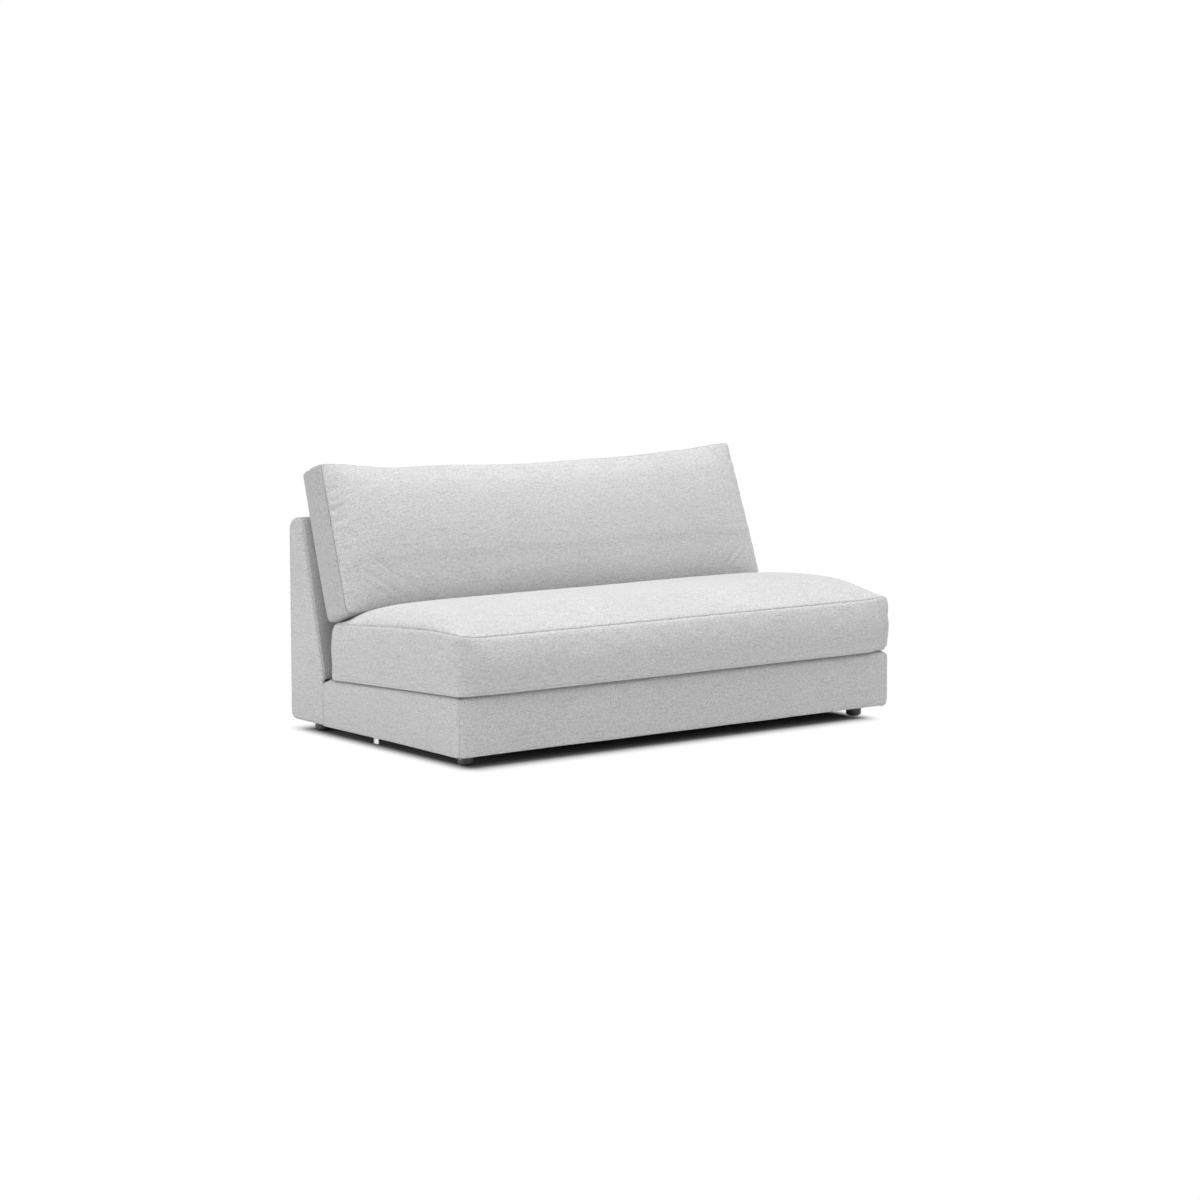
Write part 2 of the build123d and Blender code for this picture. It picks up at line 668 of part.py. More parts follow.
def foot_plates():
    """Steel plates under the blocks that the hanger bolts screw into."""
    shapes = []
    half = FOOT_PLATE_SIZE / 2
    for x, y in foot_places():
        plate = block(x - half, x + half, y - half, y + half, BASE_BOTTOM, WOOD_BOTTOM)
        plate -= upright(x, y, BASE_BOTTOM - 1, WOOD_BOTTOM + 1, BOLT_RADIUS + THREAD_PLAY)
        shapes.append(plate)
    return shapes


def foot_hanger_bolts():
    return [
        upright(x, y, BASE_BOTTOM - HANGER_IN_FOOT, WOOD_BOTTOM + HANGER_IN_BLOCK, BOLT_RADIUS)
        for x, y in foot_places()
    ]


def connector_screw_places(side):
    x = side * (HALF - SCREW_INSET)
    return [(x, HOOK_Y - SCREW_PITCH / 2), (x, HOOK_Y + SCREW_PITCH / 2)]


def screw_tip():
    return BASE_BOTTOM + CONNECTOR_SCREW_LENGTH


def folded_strip(reach, thick):
    """Plan of the folded tongue: two facets that meet at a ridge, thick in x."""
    half = HOOK_WIDTH / 2
    return [
        (reach, -half), (reach + HOOK_FOLD, 0), (reach, half),
        (reach - thick, half), (reach + HOOK_FOLD - thick, 0), (reach - thick, -half),
    ]


def connector_hook():
    """Left-hand connector: a flange under the side rail and a folded tongue that hangs down."""
    outer = HALF - HOOK_INSET
    top = BASE_BOTTOM
    flange = block(
        outer - HOOK_FLANGE, outer, -HOOK_WIDTH / 2, HOOK_WIDTH / 2, top - HOOK_SHEET, top
    )
    tongue = extrude(
        Pos(0, 0, BASE_BOTTOM - HOOK_DROP) * make_face(Polyline(*folded_strip(outer, HOOK_SHEET), close=True)),
        amount=HOOK_DROP, dir=(0, 0, 1),
    )
    shape = Pos(0, HOOK_Y, 0) * (flange + tongue)
    for x, y in connector_screw_places(1):
        shape -= upright(x, y, 0, top + 1, CONNECTOR_SCREW_RADIUS + HOLE_PLAY)
    return mirror(shape, about=Plane.YZ)


def connector_receiver():
    """Right-hand connector: a flange with a folded slot that takes a neighbour's tongue."""
    outer = HALF - HOOK_INSET
    top = BASE_BOTTOM
    low = BASE_BOTTOM - HOOK_DROP
    flange = block(
        outer - HOOK_FLANGE, outer, -HOOK_WIDTH / 2, HOOK_WIDTH / 2, top - HOOK_SHEET, top
    )
    walls = []
    for reach in (outer, outer - HOOK_SHEET - RECEIVER_GAP):
        face = make_face(Polyline(*folded_strip(reach - HOOK_FOLD, HOOK_SHEET), close=True))
        walls.append(extrude(Pos(0, 0, low) * face, amount=top - low, dir=(0, 0, 1)))
    shape = Pos(0, HOOK_Y, 0) * (flange + walls[0] + walls[1])
    for x, y in connector_screw_places(1):
        shape -= upright(x, y, 0, top + 1, CONNECTOR_SCREW_RADIUS + HOLE_PLAY)
    return shape


def connector_screws():
    """Hex-head screws, up through each connector's flange into the side rail."""
    low = BASE_BOTTOM - HOOK_SHEET
    head = Pos(0, 0, low) * Rot(-90, 0, 0) * hexagon(SCREW_HEAD_FLATS, 0, SCREW_HEAD)
    screw = head + upright(0, 0, low - SCREW_HEAD / 2, screw_tip(), CONNECTOR_SCREW_RADIUS)
    return [Pos(x, y, 0) * screw for side in (-1, 1) for x, y in connector_screw_places(side)]


# ---- seat cushion ------------------------------------------------------------------------------------
def crown_share(across):
    """Rise of a full cushion panel, as a share of its crown, at this share of the way across it."""
    return (1 - abs(2 * across - 1) ** 2.6) ** 0.8


def seat_section(x, crown, tuck_front, tuck_rear):
    """Side view of the seat cushion at x: six lines and arcs."""
    front, rear, high = tuck_front, SEAT_DEPTH - tuck_rear, SEAT_BOXING
    def top(share):
        return (front + (rear - front) * share, high + crown * crown_share(share))
    bulge = 1 - tuck_front / 60
    edges = [
        Line((front + SEAT_EDGE_INSET, 0), (rear - SEAT_EDGE_INSET, 0)),
        ThreePointArc((rear - SEAT_EDGE_INSET, 0), (rear + SEAT_REAR_BULGE, high * 0.45), (rear, high)),
        ThreePointArc((rear, high), top(0.93), top(0.82)),
        ThreePointArc(top(0.82), top(0.5), top(0.18)),
        ThreePointArc(top(0.18), top(0.07), (front, high)),
        ThreePointArc(
            (front, high), (front - SEAT_BULGE * bulge, SEAT_BULGE_RISE), (front + SEAT_EDGE_INSET, 0)
        ),
    ]
    return Plane.YZ.offset(x) * make_face(Wire(edges))


def seat_form():
    """The whole seat cushion: crowned top, bulging boxings, drawn-in corners."""
    end = HALF - SEAT_SIDE_INSET
    stations = [
        (end, 4.0, 15.0, 13.0), (end - 12, 18.0, 5.0, 4.0), (end - 40, 0.54 * SEAT_CROWN, 1.0, 1.0),
        (end - 110, 0.82 * SEAT_CROWN, 0.0, 0.0), (end - 260, 0.96 * SEAT_CROWN, 0.0, 0.0),
        (end - 520, 0.99 * SEAT_CROWN, 0.0, 0.0),
    ]
    right = [seat_section(x, c, f, r) for x, c, f, r in stations]
    left = [seat_section(-x, c, f, r) for x, c, f, r in stations]
    middle = seat_section(0, SEAT_CROWN, 0.0, 0.0)
    body = loft(left + [middle] + right[::-1], ruled=True)
    return DECK_PLANE * Pos(0, 0, SOFT_GAP) * body


def part_cushion(form, plane, half, depth, height, low_inset, core_inset, lying):
    """Parts a cushion at its seams: core, two big panels and four boxings.

    The form is drawn in plane; depth and height are its size along the plane's y and z. lying says
    whether the big panels face along z (a seat) or along y (a back).
    """
    x = half - core_inset
    def zone(x0, x1, y0, y1, z0, z1):
        return plane * block(x0, x1, y0, y1, z0, z1)
    if lying:
        y0, y1, z0, z1 = core_inset, depth - core_inset, PANEL, height - PANEL
        wide = (-FAR, depth + FAR)
        pieces = {
            "bottom_panel": zone(-2 * half, 2 * half, *wide, -FAR, z0),
            "top_panel": zone(-2 * half, 2 * half, *wide, z1, FAR + height),
            "front_boxing": zone(-x, x, -FAR, y0, z0, z1),
            "rear_boxing": zone(-x, x, y1, depth + FAR, z0, z1),
            "side_boxings": both(zone(x, 2 * half, *wide, z0, z1)),
        }
    else:
        y0, y1, z0, z1 = PANEL, depth - PANEL, low_inset, height - core_inset
        tall = (-FAR, height + FAR)
        pieces = {
            "front_panel": zone(-2 * half, 2 * half, -FAR, y0, *tall),
            "rear_panel": zone(-2 * half, 2 * half, y1, depth + FAR, *tall),
            "bottom_boxing": zone(-x, x, y0, y1, -FAR, z0),
            "top_boxing": zone(-x, x, y0, y1, z1, height + FAR),
            "side_boxings": both(zone(x, 2 * half, y0, y1, *tall)),
        }
    pieces["core"] = zone(-x, x, y0, y1, z0, z1)
    return {
        name: [form & c for c in cut] if isinstance(cut, list) else form & cut
        for name, cut in pieces.items()
    }


def zip_pieces(length, floor):
    """Tape with its coil, and the slider with its pull, drawn lying in the xy plane on z = floor."""
    x_start = ZIP_STOP - length / 2
    tape = block(-length / 2, length / 2, -ZIP_TAPE_WIDTH / 2, ZIP_TAPE_WIDTH / 2, floor, floor + ZIP_TAPE)
    coil_top = floor + ZIP_TAPE + ZIP_COIL
    tape += block(-length / 2, length / 2, -ZIP_COIL_WIDTH / 2, ZIP_COIL_WIDTH / 2, floor, coil_top)
    low = floor + ZIP_TAPE + SOFT_GAP
    slider = block(
        x_start, x_start + ZIP_SLIDER_LENGTH, -ZIP_SLIDER_WIDTH / 2, ZIP_SLIDER_WIDTH / 2, low, low + ZIP_SLIDER
    )
    slider -= block(
        x_start - 1, x_start + ZIP_SLIDER_LENGTH + 1, -ZIP_COIL_WIDTH / 2 - SOFT_GAP,
        ZIP_COIL_WIDTH / 2 + SOFT_GAP, low - 1, coil_top + SOFT_GAP,
    )
    slider += block(
        x_start + ZIP_SLIDER_LENGTH / 2, x_start + ZIP_SLIDER_LENGTH + ZIP_PULL_LENGTH,
        -ZIP_PULL_WIDTH / 2, ZIP_PULL_WIDTH / 2, low + ZIP_SLIDER, low + ZIP_SLIDER + ZIP_PULL,
    )
    return tape, slider


def seat_cushion():
    form = seat_form()
    pieces = part_cushion(
        form, DECK_PLANE * Pos(0, 0, SOFT_GAP), HALF - SEAT_SIDE_INSET, SEAT_DEPTH, SEAT_BOXING,
        PANEL, SEAT_CORE_INSET, True,
    )
    floor = SEAT_DEPTH - SEAT_ZIP_SINK
    channel = block(
        -SEAT_ZIP_LENGTH / 2, SEAT_ZIP_LENGTH / 2, floor, SEAT_DEPTH + FAR,
        (SEAT_BOXING - ZIP_CHANNEL) / 2, (SEAT_BOXING + ZIP_CHANNEL) / 2,
    )
    place = DECK_PLANE * Pos(0, 0, SOFT_GAP)
    pieces["rear_boxing"] -= place * channel
    stand = place * Pos(0, 0, SEAT_BOXING / 2) * Rot(-90, 0, 0)
    tape, slider = zip_pieces(SEAT_ZIP_LENGTH, floor)
    pieces["zip_tape"] = stand * tape
    pieces["zip_slider"] = stand * slider
    return form, pieces


# ---- back cushion ---------------------------------------------------------------------------------------
def cushion_section(x, front_crown, rear_crown, high):
    """Side view of the back cushion at x: bottom, rear, top and front."""
    deep = CUSHION_BOXING
    shares = [(crown_share(i / 6), high * i / 6) for i in range(7)]
    rear = [(deep + rear_crown * share, z) for share, z in shares]
    front = [(-front_crown * share, z) for share, z in shares]
    return Plane.YZ.offset(x) * make_face(Polyline(*rear, (deep / 2, high + 4), *front[::-1], close=True))


def cushion_form():
    """The whole back cushion before it settles: crowned both ways, its top sagging between its corners."""
    end = HALF - CUSHION_SIDE_INSET
    stations = [
        (end, 0.06, 0.0), (end - 22, 0.36, 0.03), (end - 110, 0.73, 0.24), (end - 340, 0.94, 0.68),
    ]
    right, left = [], []
    for x, share, sag in stations:
        crowns = (share * CUSHION_FRONT_CROWN, share * CUSHION_REAR_CROWN, CUSHION_HEIGHT - sag * CUSHION_SAG)
        right.append(cushion_section(x, *crowns))
        left.append(cushion_section(-x, *crowns))
    middle = cushion_section(0, CUSHION_FRONT_CROWN, CUSHION_REAR_CROWN, CUSHION_HEIGHT - CUSHION_SAG)
    body = loft(left + [middle] + right[::-1], ruled=True)
    draw = CUSHION_TOP_INSET - CUSHION_SIDE_INSET
    high = 2 * CUSHION_HEIGHT
    slant = Polyline((end, 0), (end + FAR, 0), (end + FAR, high), (end - 2 * draw, high), close=True)
    wedge = extrude(Plane.XZ.offset(-FAR) * make_face(slant), amount=2 * FAR)
    for cut in both(wedge):
        body -= cut
    return CUSHION_PLANE * body


def back_cushion(seat):
    """The back cushion, settled on the seat cushion and against the back unit."""
    form = cushion_form()
    form -= Pos(0, 0, SOFT_GAP) * seat
    high = BACK_TOP + 2
    wall = profile(
        [
            (back_front(0, -SOFT_GAP), 0), (REAR + FAR, 0), (REAR + FAR, high),
            (back_front(high, -SOFT_GAP), high),
        ],
        -HALF - FAR, HALF + FAR,
    )
    form -= wall
    pieces = part_cushion(
        form, CUSHION_PLANE, HALF - CUSHION_SIDE_INSET, CUSHION_BOXING, CUSHION_HEIGHT - CUSHION_SAG,
        CUSHION_CORE_INSET, CUSHION_CORE_INSET, False,
    )
    floor = CUSHION_BOXING + BACK_ZIP_PROUD
    channel = block(
        -BACK_ZIP_LENGTH / 2, BACK_ZIP_LENGTH / 2, floor, CUSHION_BOXING + FAR,
        BACK_ZIP_RISE - ZIP_CHANNEL / 2, BACK_ZIP_RISE + ZIP_CHANNEL / 2,
    )
    pieces["rear_panel"] -= CUSHION_PLANE * channel
    stand = CUSHION_PLANE * Pos(0, 0, BACK_ZIP_RISE) * Rot(-90, 0, 0)
    tape, slider = zip_pieces(BACK_ZIP_LENGTH, floor)
    pieces["zip_tape"] = stand * tape
    pieces["zip_slider"] = stand * slider
    return pieces


# ---- write every node ---------------------------------------------------------------------------------------
def main():
    write("base_front_rail", base_front_rail())
    write("base_rear_rail", base_rear_rail())
    write("base_left_rail", base_side_rail(-1))
    write("base_right_rail", base_side_rail(1))
    write("base_cross_rails", base_cross_rails())
    write("base_corner_blocks", base_corner_blocks())
    write("seat_springs", seat_springs())
    write("spring_clips", spring_clips())
    write("spring_tie_wires", spring_tie_wires())
    write("deck_insulator", deck_insulator())
    write("deck_pad", deck_pad())
    for name, cover in base_covers().items():
        write(name, cover)
    write("base_dust_cover", dust_cover(FRONT, JOIN))

    end = back_end()
    write("back_right_end", end)
    write("back_left_end", mirror(end, about=Plane.YZ))
    write("back_ribs", back_ribs())
    write("back_top_rail", back_top_rail())
    write("back_lumbar_rail", back_lumbar_rail())
    write("back_sill_rail", back_sill_rail())
    write("back_foot_rail", back_foot_rail())
    write("back_foot_blocks", back_foot_blocks())
    write("back_webbing", back_webbing())
    write("back_pad", back_pad())
    side, inside, outside = back_covers()
    write("back_right_cover", side)
    write("back_left_cover", mirror(side, about=Plane.YZ))
    write("back_inside_cover", inside)
    write("back_outside_cover", outside)
    write("back_dust_cover", dust_cover(JOIN, REAR))

    write("joining_bolts", joining_bolts())
    write("joining_nuts", joining_nuts())
    write("feet", [foot(x, y) for x, y in foot_places()])
    write("foot_glides", foot_glides())
    write("foot_plates", foot_plates())
    write("foot_hanger_bolts", foot_hanger_bolts())
    write("connector_hook", connector_hook())
    write("connector_receiver", connector_receiver())
    write("connector_screws", connector_screws())

    seat, seat_pieces = seat_cushion()
    for name, piece in seat_pieces.items():
        write(f"seat_{name}", piece)
    for name, piece in back_cushion(seat).items():
        write(f"cushion_{name}", piece)


if __name__ == "__main__":
    main()
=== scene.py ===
"""Armless sofa: its cloth, cushions, metalwork, floor, light and camera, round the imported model."""
import math

import bpy
import numpy as np
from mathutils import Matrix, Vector, noise


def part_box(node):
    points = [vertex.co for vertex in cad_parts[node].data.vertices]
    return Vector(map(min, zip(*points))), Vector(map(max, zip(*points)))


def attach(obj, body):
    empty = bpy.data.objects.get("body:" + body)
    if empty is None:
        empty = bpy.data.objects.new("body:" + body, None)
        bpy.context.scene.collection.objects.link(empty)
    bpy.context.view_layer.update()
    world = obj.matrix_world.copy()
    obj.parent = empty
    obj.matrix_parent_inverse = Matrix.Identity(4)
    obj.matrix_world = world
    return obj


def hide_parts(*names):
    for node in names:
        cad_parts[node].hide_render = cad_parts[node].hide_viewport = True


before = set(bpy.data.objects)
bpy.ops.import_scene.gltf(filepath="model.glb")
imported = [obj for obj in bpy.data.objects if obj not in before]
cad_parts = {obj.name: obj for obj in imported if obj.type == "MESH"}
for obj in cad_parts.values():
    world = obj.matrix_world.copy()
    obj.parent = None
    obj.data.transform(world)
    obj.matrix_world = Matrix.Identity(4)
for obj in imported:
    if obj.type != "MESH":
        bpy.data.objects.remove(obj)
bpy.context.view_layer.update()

# ---- places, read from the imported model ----
cover_low, cover_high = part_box("base_front_cover")
back_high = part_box("back_outside_cover")[1]
HALF = cover_high.x
FRONT = cover_low.y
BOTTOM = cover_low.z
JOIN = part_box("deck_cover")[1].y
REAR = back_high.y
TOP = back_high.z

# ---- the maker's sizes, in metres ----
DECK_HEIGHT = BOTTOM + 0.184
PITCH = math.radians(2.5)
SLOPE = math.tan(PITCH)
BACK_TOP_DEPTH = 0.072
BASE_ROUND = 0.018
BASE_CORNER = 0.007
BACK_ROUND = 0.042
BACK_FOOT_ROUND = 0.024
BACK_LIP_ROUND = 0.014
COVER = 0.008
SKIN = 0.0066
HEM_WIDTH = 0.040
SOFT_GAP = 0.0003
EDGE_STEPS = (0.0016, 0.0042, 0.009, 0.0155)
PANEL_STEP = 0.0135
BOXING_STEP = 0.0125
BACK_PANEL_STEP = 0.0085
SEAM_WIDTH = 0.0013
SEAM_HOLD, BOXING_HOLD, SEAM_RELEASE = 0.008, 0.006, 0.03
AT_EDGE = 1e-6

SEAT_HALF = 0.8672
SEAT_DEPTH = JOIN - FRONT - 0.058
SEAT_BOXING = 0.182
SEAT_CROWN = 0.070
SEAT_FOOT_ROUND = 0.017

CUSHION_TILT = math.radians(19.8)
CUSHION_HALF = 0.8565
CUSHION_HEIGHT = 0.497
CUSHION_BOXING = 0.118
CUSHION_CROWN = 0.057
CUSHION_REAR_CROWN = 0.086
CUSHION_SAG = 0.030
CUSHION_CORNER = 0.007

DECK_REAR = DECK_HEIGHT - (JOIN - FRONT) * SLOPE
LEAN = (REAR - BACK_TOP_DEPTH - JOIN) / (TOP - DECK_REAR)


def deck_height(y):
    """Height of the deck at y."""
    return DECK_HEIGHT - (y - FRONT) * SLOPE


def back_front(z):
    """Y of the back unit's leaning front at height z."""
    return JOIN + (z - DECK_REAR) * LEAN


def on_deck(x, y, z):
    """A point given along and off the deck, in the model's frame."""
    return Vector((
        x,
        FRONT + y * math.cos(PITCH) + z * math.sin(PITCH),
        DECK_HEIGHT - y * math.sin(PITCH) + z * math.cos(PITCH),
    ))


CUSHION_FOOT_Y = FRONT + SEAT_DEPTH - 0.069
CUSHION_FOOT_Z = deck_height(CUSHION_FOOT_Y) + SEAT_BOXING / math.cos(PITCH) + 0.0325


def on_cushion(x, y, z):
    """A point given along and up the leaning back cushion, in the model's frame."""
    return Vector((
        x,
        CUSHION_FOOT_Y + y * math.cos(CUSHION_TILT) + z * math.sin(CUSHION_TILT),
        CUSHION_FOOT_Z - y * math.sin(CUSHION_TILT) + z * math.cos(CUSHION_TILT),
    ))


def ease(t):
    """0 to 1, with no corner at either end."""
    t = min(1.0, max(0.0, t))
    return t * t * (3 - 2 * t)


def near(distance, width):
    """1 at a line, falling away over this width."""
    return math.exp(-(distance / width) ** 2)


def ripple(*where):
    """Smooth repeatable noise from -1 to 1."""
    return noise.noise(Vector(where))


# ---- shader groups ----
def add(tree, kind, inputs=None, **settings):
    """A node with its settings and inputs; an input may be a value or another node's socket."""
    node = tree.nodes.new(kind)
    for name, value in settings.items():
        setattr(node, name, value)
    for name, value in (inputs or {}).items():
        socket = node.inputs[name]
        if isinstance(value, bpy.types.NodeSocket):
            tree.links.new(value, socket)
        else:
            socket.default_value = value
    return node


def sums(tree, operation, a, b=0.0):
    """One sum of arithmetic."""
    return add(tree, "ShaderNodeMath", {0: a, 1: b}, operation=operation).outputs[0]


def weighed(tree, a, weight_a, b, weight_b):
    """Two values, each times its weight, added."""
    return sums(tree, "ADD", sums(tree, "MULTIPLY", a, weight_a), sums(tree, "MULTIPLY", b, weight_b))


def joined(tree, x, y, z=0.0):
    """A vector from three values."""
    return add(tree, "ShaderNodeCombineXYZ", {"X": x, "Y": y, "Z": z}).outputs[0]


def split(tree, vector):
    """The three values of a vector."""
    return add(tree, "ShaderNodeSeparateXYZ", {0: vector}).outputs


def cloud(tree, where, scale, detail):
    """Smooth noise."""
    settings = {"Vector": where, "Scale": scale, "Detail": detail}
    return add(tree, "ShaderNodeTexNoise", settings).outputs["Fac"]


def cells(tree, where, scale, output):
    """Cells of all sizes, side by side."""
    return add(tree, "ShaderNodeTexVoronoi", {"Vector": where, "Scale": scale}).outputs[output]


def clamped(tree, value):
    """A value kept between 0 and 1."""
    return add(tree, "ShaderNodeClamp", {0: value}).outputs[0]


def blend(tree, share, a, b):
    """A colour between two."""
    return add(tree, "ShaderNodeMix", {"Factor": share, "A": a, "B": b}, data_type="RGBA").outputs["Result"]


def span(tree, value, start, end, low, high, **settings):
    """A value mapped from start..end to low..high."""
    return add(tree, "ShaderNodeMapRange", {
        "Value": value, "From Min": start, "From Max": end, "To Min": low, "To Max": high,
    }, **settings).outputs[0]


def new_group(name, inputs, outputs):
    """A shader node group with these named sockets, and its two end nodes."""
    tree = bpy.data.node_groups.new(name, "ShaderNodeTree")
    for label, kind, value in inputs:
        socket = tree.interface.new_socket(name=label, in_out="INPUT", socket_type=kind)
        if value is not None:
            socket.default_value = value
    for label, kind in outputs:
        tree.interface.new_socket(name=label, in_out="OUTPUT", socket_type=kind)
    return tree, tree.nodes.new("NodeGroupInput").outputs, tree.nodes.new("NodeGroupOutput").inputs


FLOAT, COLOUR, VECTOR = "NodeSocketFloat", "NodeSocketColor", "NodeSocketVector"


def finish_group(name, inputs):
    """A group that puts out a colour, a roughness and a height."""
    return new_group(name, inputs, [("Colour", COLOUR), ("Roughness", FLOAT), ("Height", FLOAT)])


def put_out(tree, out, colour, roughness, height):
    """Joins a finish group's results to its outputs."""
    tree.links.new(colour, out["Colour"])
    tree.links.new(roughness, out["Roughness"])
    tree.links.new(height, out["Height"])
    return tree


def plain_weave():
    """Heathered plain weave with slubs along the weft, drawn in metres of cloth."""
    tree, given, out = finish_group("Plain weave", [
        ("Cloth", VECTOR, None), ("Light yarn", COLOUR, (0.7, 0.7, 0.69, 1)),
        ("Dark yarn", COLOUR, (0.4, 0.4, 0.4, 1)), ("Thread", FLOAT, 0.0011),
        ("Slub", FLOAT, 0.5), ("Heather", FLOAT, 0.5), ("Dye drift", FLOAT, 0.1), ("Cut", FLOAT, 0.0),
    ])
    at = split(tree, given["Cloth"])
    weft = sums(tree, "DIVIDE", at["Y"], given["Thread"])
    warp = sums(tree, "DIVIDE", at["X"], given["Thread"])
    weft_row, warp_row = sums(tree, "FLOOR", weft), sums(tree, "FLOOR", warp)
    streak_row = sums(tree, "FLOOR", sums(tree, "MULTIPLY", weft, 0.7))

    def yarn(along, row, length, spread, detail):
        x, y = sums(tree, "MULTIPLY", along, 1 / length), sums(tree, "MULTIPLY", row, spread)
        return cloud(tree, joined(tree, x, y, spread * 3), 1.0, detail)

    slub = yarn(at["X"], weft_row, 0.014, 0.61, 2.0)
    fleck = yarn(at["X"], weft_row, 0.0030, 3.37, 1.0)
    stripe = yarn(at["Y"], warp_row, 0.0034, 2.71, 1.0)
    where = joined(tree, sums(tree, "DIVIDE", at["X"], 0.012), sums(tree, "DIVIDE", at["Y"], 0.0022))
    grouped = cloud(tree, where, 1.0, 2.0)
    streak = span(tree, yarn(at["X"], streak_row, 0.050, 1.93, 1.0), 0.58, 0.76, 0.5, 0.15)
    drift = cloud(tree, given["Cloth"], 2.6, 2.0)
    shade = 0.5
    for source, label, share in (
        (slub, "Slub", 1.0), (fleck, "Heather", 1.0), (stripe, "Heather", 0.8), (drift, "Dye drift", 1.0),
        (grouped, "Slub", 0.5), (streak, "Slub", 1.6),
    ):
        weight = given[label] if share == 1.0 else sums(tree, "MULTIPLY", given[label], share)
        centred = sums(tree, "SUBTRACT", source, 0.5)
        shade = sums(tree, "ADD", sums(tree, "MULTIPLY", centred, weight), shade)
    colour = blend(tree, clamped(tree, shade), given["Dark yarn"], given["Light yarn"])
    # painted shade: the colour is scaled by 1 + Cut, darkening or lightening marked strips in place of how
    # the light falls on them
    cut = add(tree, "ShaderNodeVectorMath", {
        0: colour, "Scale": sums(tree, "ADD", given["Cut"], 1.0),
    }, operation="SCALE").outputs[0]
    roughness = sums(tree, "ADD", sums(tree, "MULTIPLY", fleck, 0.16), 0.74)
    over = sums(tree, "SINE", sums(tree, "MULTIPLY", weft, math.pi))
    over = sums(tree, "MULTIPLY", over, sums(tree, "SINE", sums(tree, "MULTIPLY", warp, math.pi)))
    high = weighed(tree, over, 0.28, slub, 0.7)
    return put_out(tree, out, cut, roughness, sums(tree, "ADD", high, sums(tree, "MULTIPLY", fleck, 0.35)))


def wood_grain():
    """Long grain with pores, along X of the vector that it is given."""
    tree, given, out = finish_group("Wood grain", [
        ("Along", VECTOR, None), ("Early wood", COLOUR, (0.55, 0.4, 0.25, 1)),
        ("Late wood", COLOUR, (0.4, 0.27, 0.15, 1)), ("Ring", FLOAT, 0.012), ("Gloss", FLOAT, 0.5),
    ])
    at = split(tree, given["Along"])
    y, z = sums(tree, "DIVIDE", at["Y"], given["Ring"]), sums(tree, "DIVIDE", at["Z"], given["Ring"])
    flat = joined(tree, sums(tree, "MULTIPLY", at["X"], 0.06), y, z)
    rings = add(
        tree, "ShaderNodeTexWave", {"Vector": flat, "Scale": 0.5, "Distortion": 5.0, "Detail": 3.0},
        bands_direction="Y",
    ).outputs["Fac"]
    fine = cloud(tree, flat, 9.0, 6.0)
    mixed = weighed(tree, rings, 0.6, fine, 0.5)
    colour = blend(tree, clamped(tree, mixed), given["Early wood"], given["Late wood"])
    roughness = sums(tree, "ADD", sums(tree, "MULTIPLY", fine, 0.2), given["Gloss"])
    return put_out(tree, out, colour, roughness, sums(tree, "ADD", mixed, fine))


def plated_metal():
    """Zinc or phosphate finish: mottled crystals and faint clouds."""
    tree, given, out = finish_group("Plated metal", [
        ("Place", VECTOR, None), ("Bright", COLOUR, (0.7, 0.7, 0.68, 1)),
        ("Dull", COLOUR, (0.45, 0.45, 0.44, 1)), ("Crystal", FLOAT, 0.004), ("Gloss", FLOAT, 0.28),
    ])
    crystals = cells(tree, given["Place"], sums(tree, "DIVIDE", 1.0, given["Crystal"]), "Color")
    mottle = add(tree, "ShaderNodeSeparateColor", {0: crystals}).outputs[0]
    haze = cloud(tree, given["Place"], 60.0, 4.0)
    mixed = weighed(tree, mottle, 0.35, haze, 0.65)
    colour = blend(tree, mixed, given["Bright"], given["Dull"])
    roughness = sums(tree, "ADD", sums(tree, "MULTIPLY", mixed, 0.25), given["Gloss"])
    return put_out(tree, out, colour, roughness, haze)


def fibre_sheet():
    """Unwoven fibres pressed into a sheet, or the open cells of foam."""
    tree, given, out = finish_group("Fibres and cells", [
        ("Place", VECTOR, None), ("Thick", COLOUR, (0.1, 0.1, 0.1, 1)),
        ("Thin", COLOUR, (0.03, 0.03, 0.03, 1)), ("Cell", FLOAT, 0.002), ("Strength", FLOAT, 1.0),
    ])
    size = sums(tree, "DIVIDE", 1.0, given["Cell"])
    pores = cells(tree, given["Place"], size, "Distance")
    haze = cloud(tree, given["Place"], sums(tree, "MULTIPLY", size, 0.22), 5.0)
    mixed = weighed(tree, pores, 0.55, haze, 0.45)
    weight = clamped(tree, sums(tree, "MULTIPLY", mixed, given["Strength"]))
    roughness = sums(tree, "ADD", sums(tree, "MULTIPLY", haze, 0.1), 0.84)
    return put_out(tree, out, blend(tree, weight, given["Thick"], given["Thin"]), roughness, mixed)


WEAVE, GRAIN, PLATING, FIBRES = plain_weave(), wood_grain(), plated_metal(), fibre_sheet()


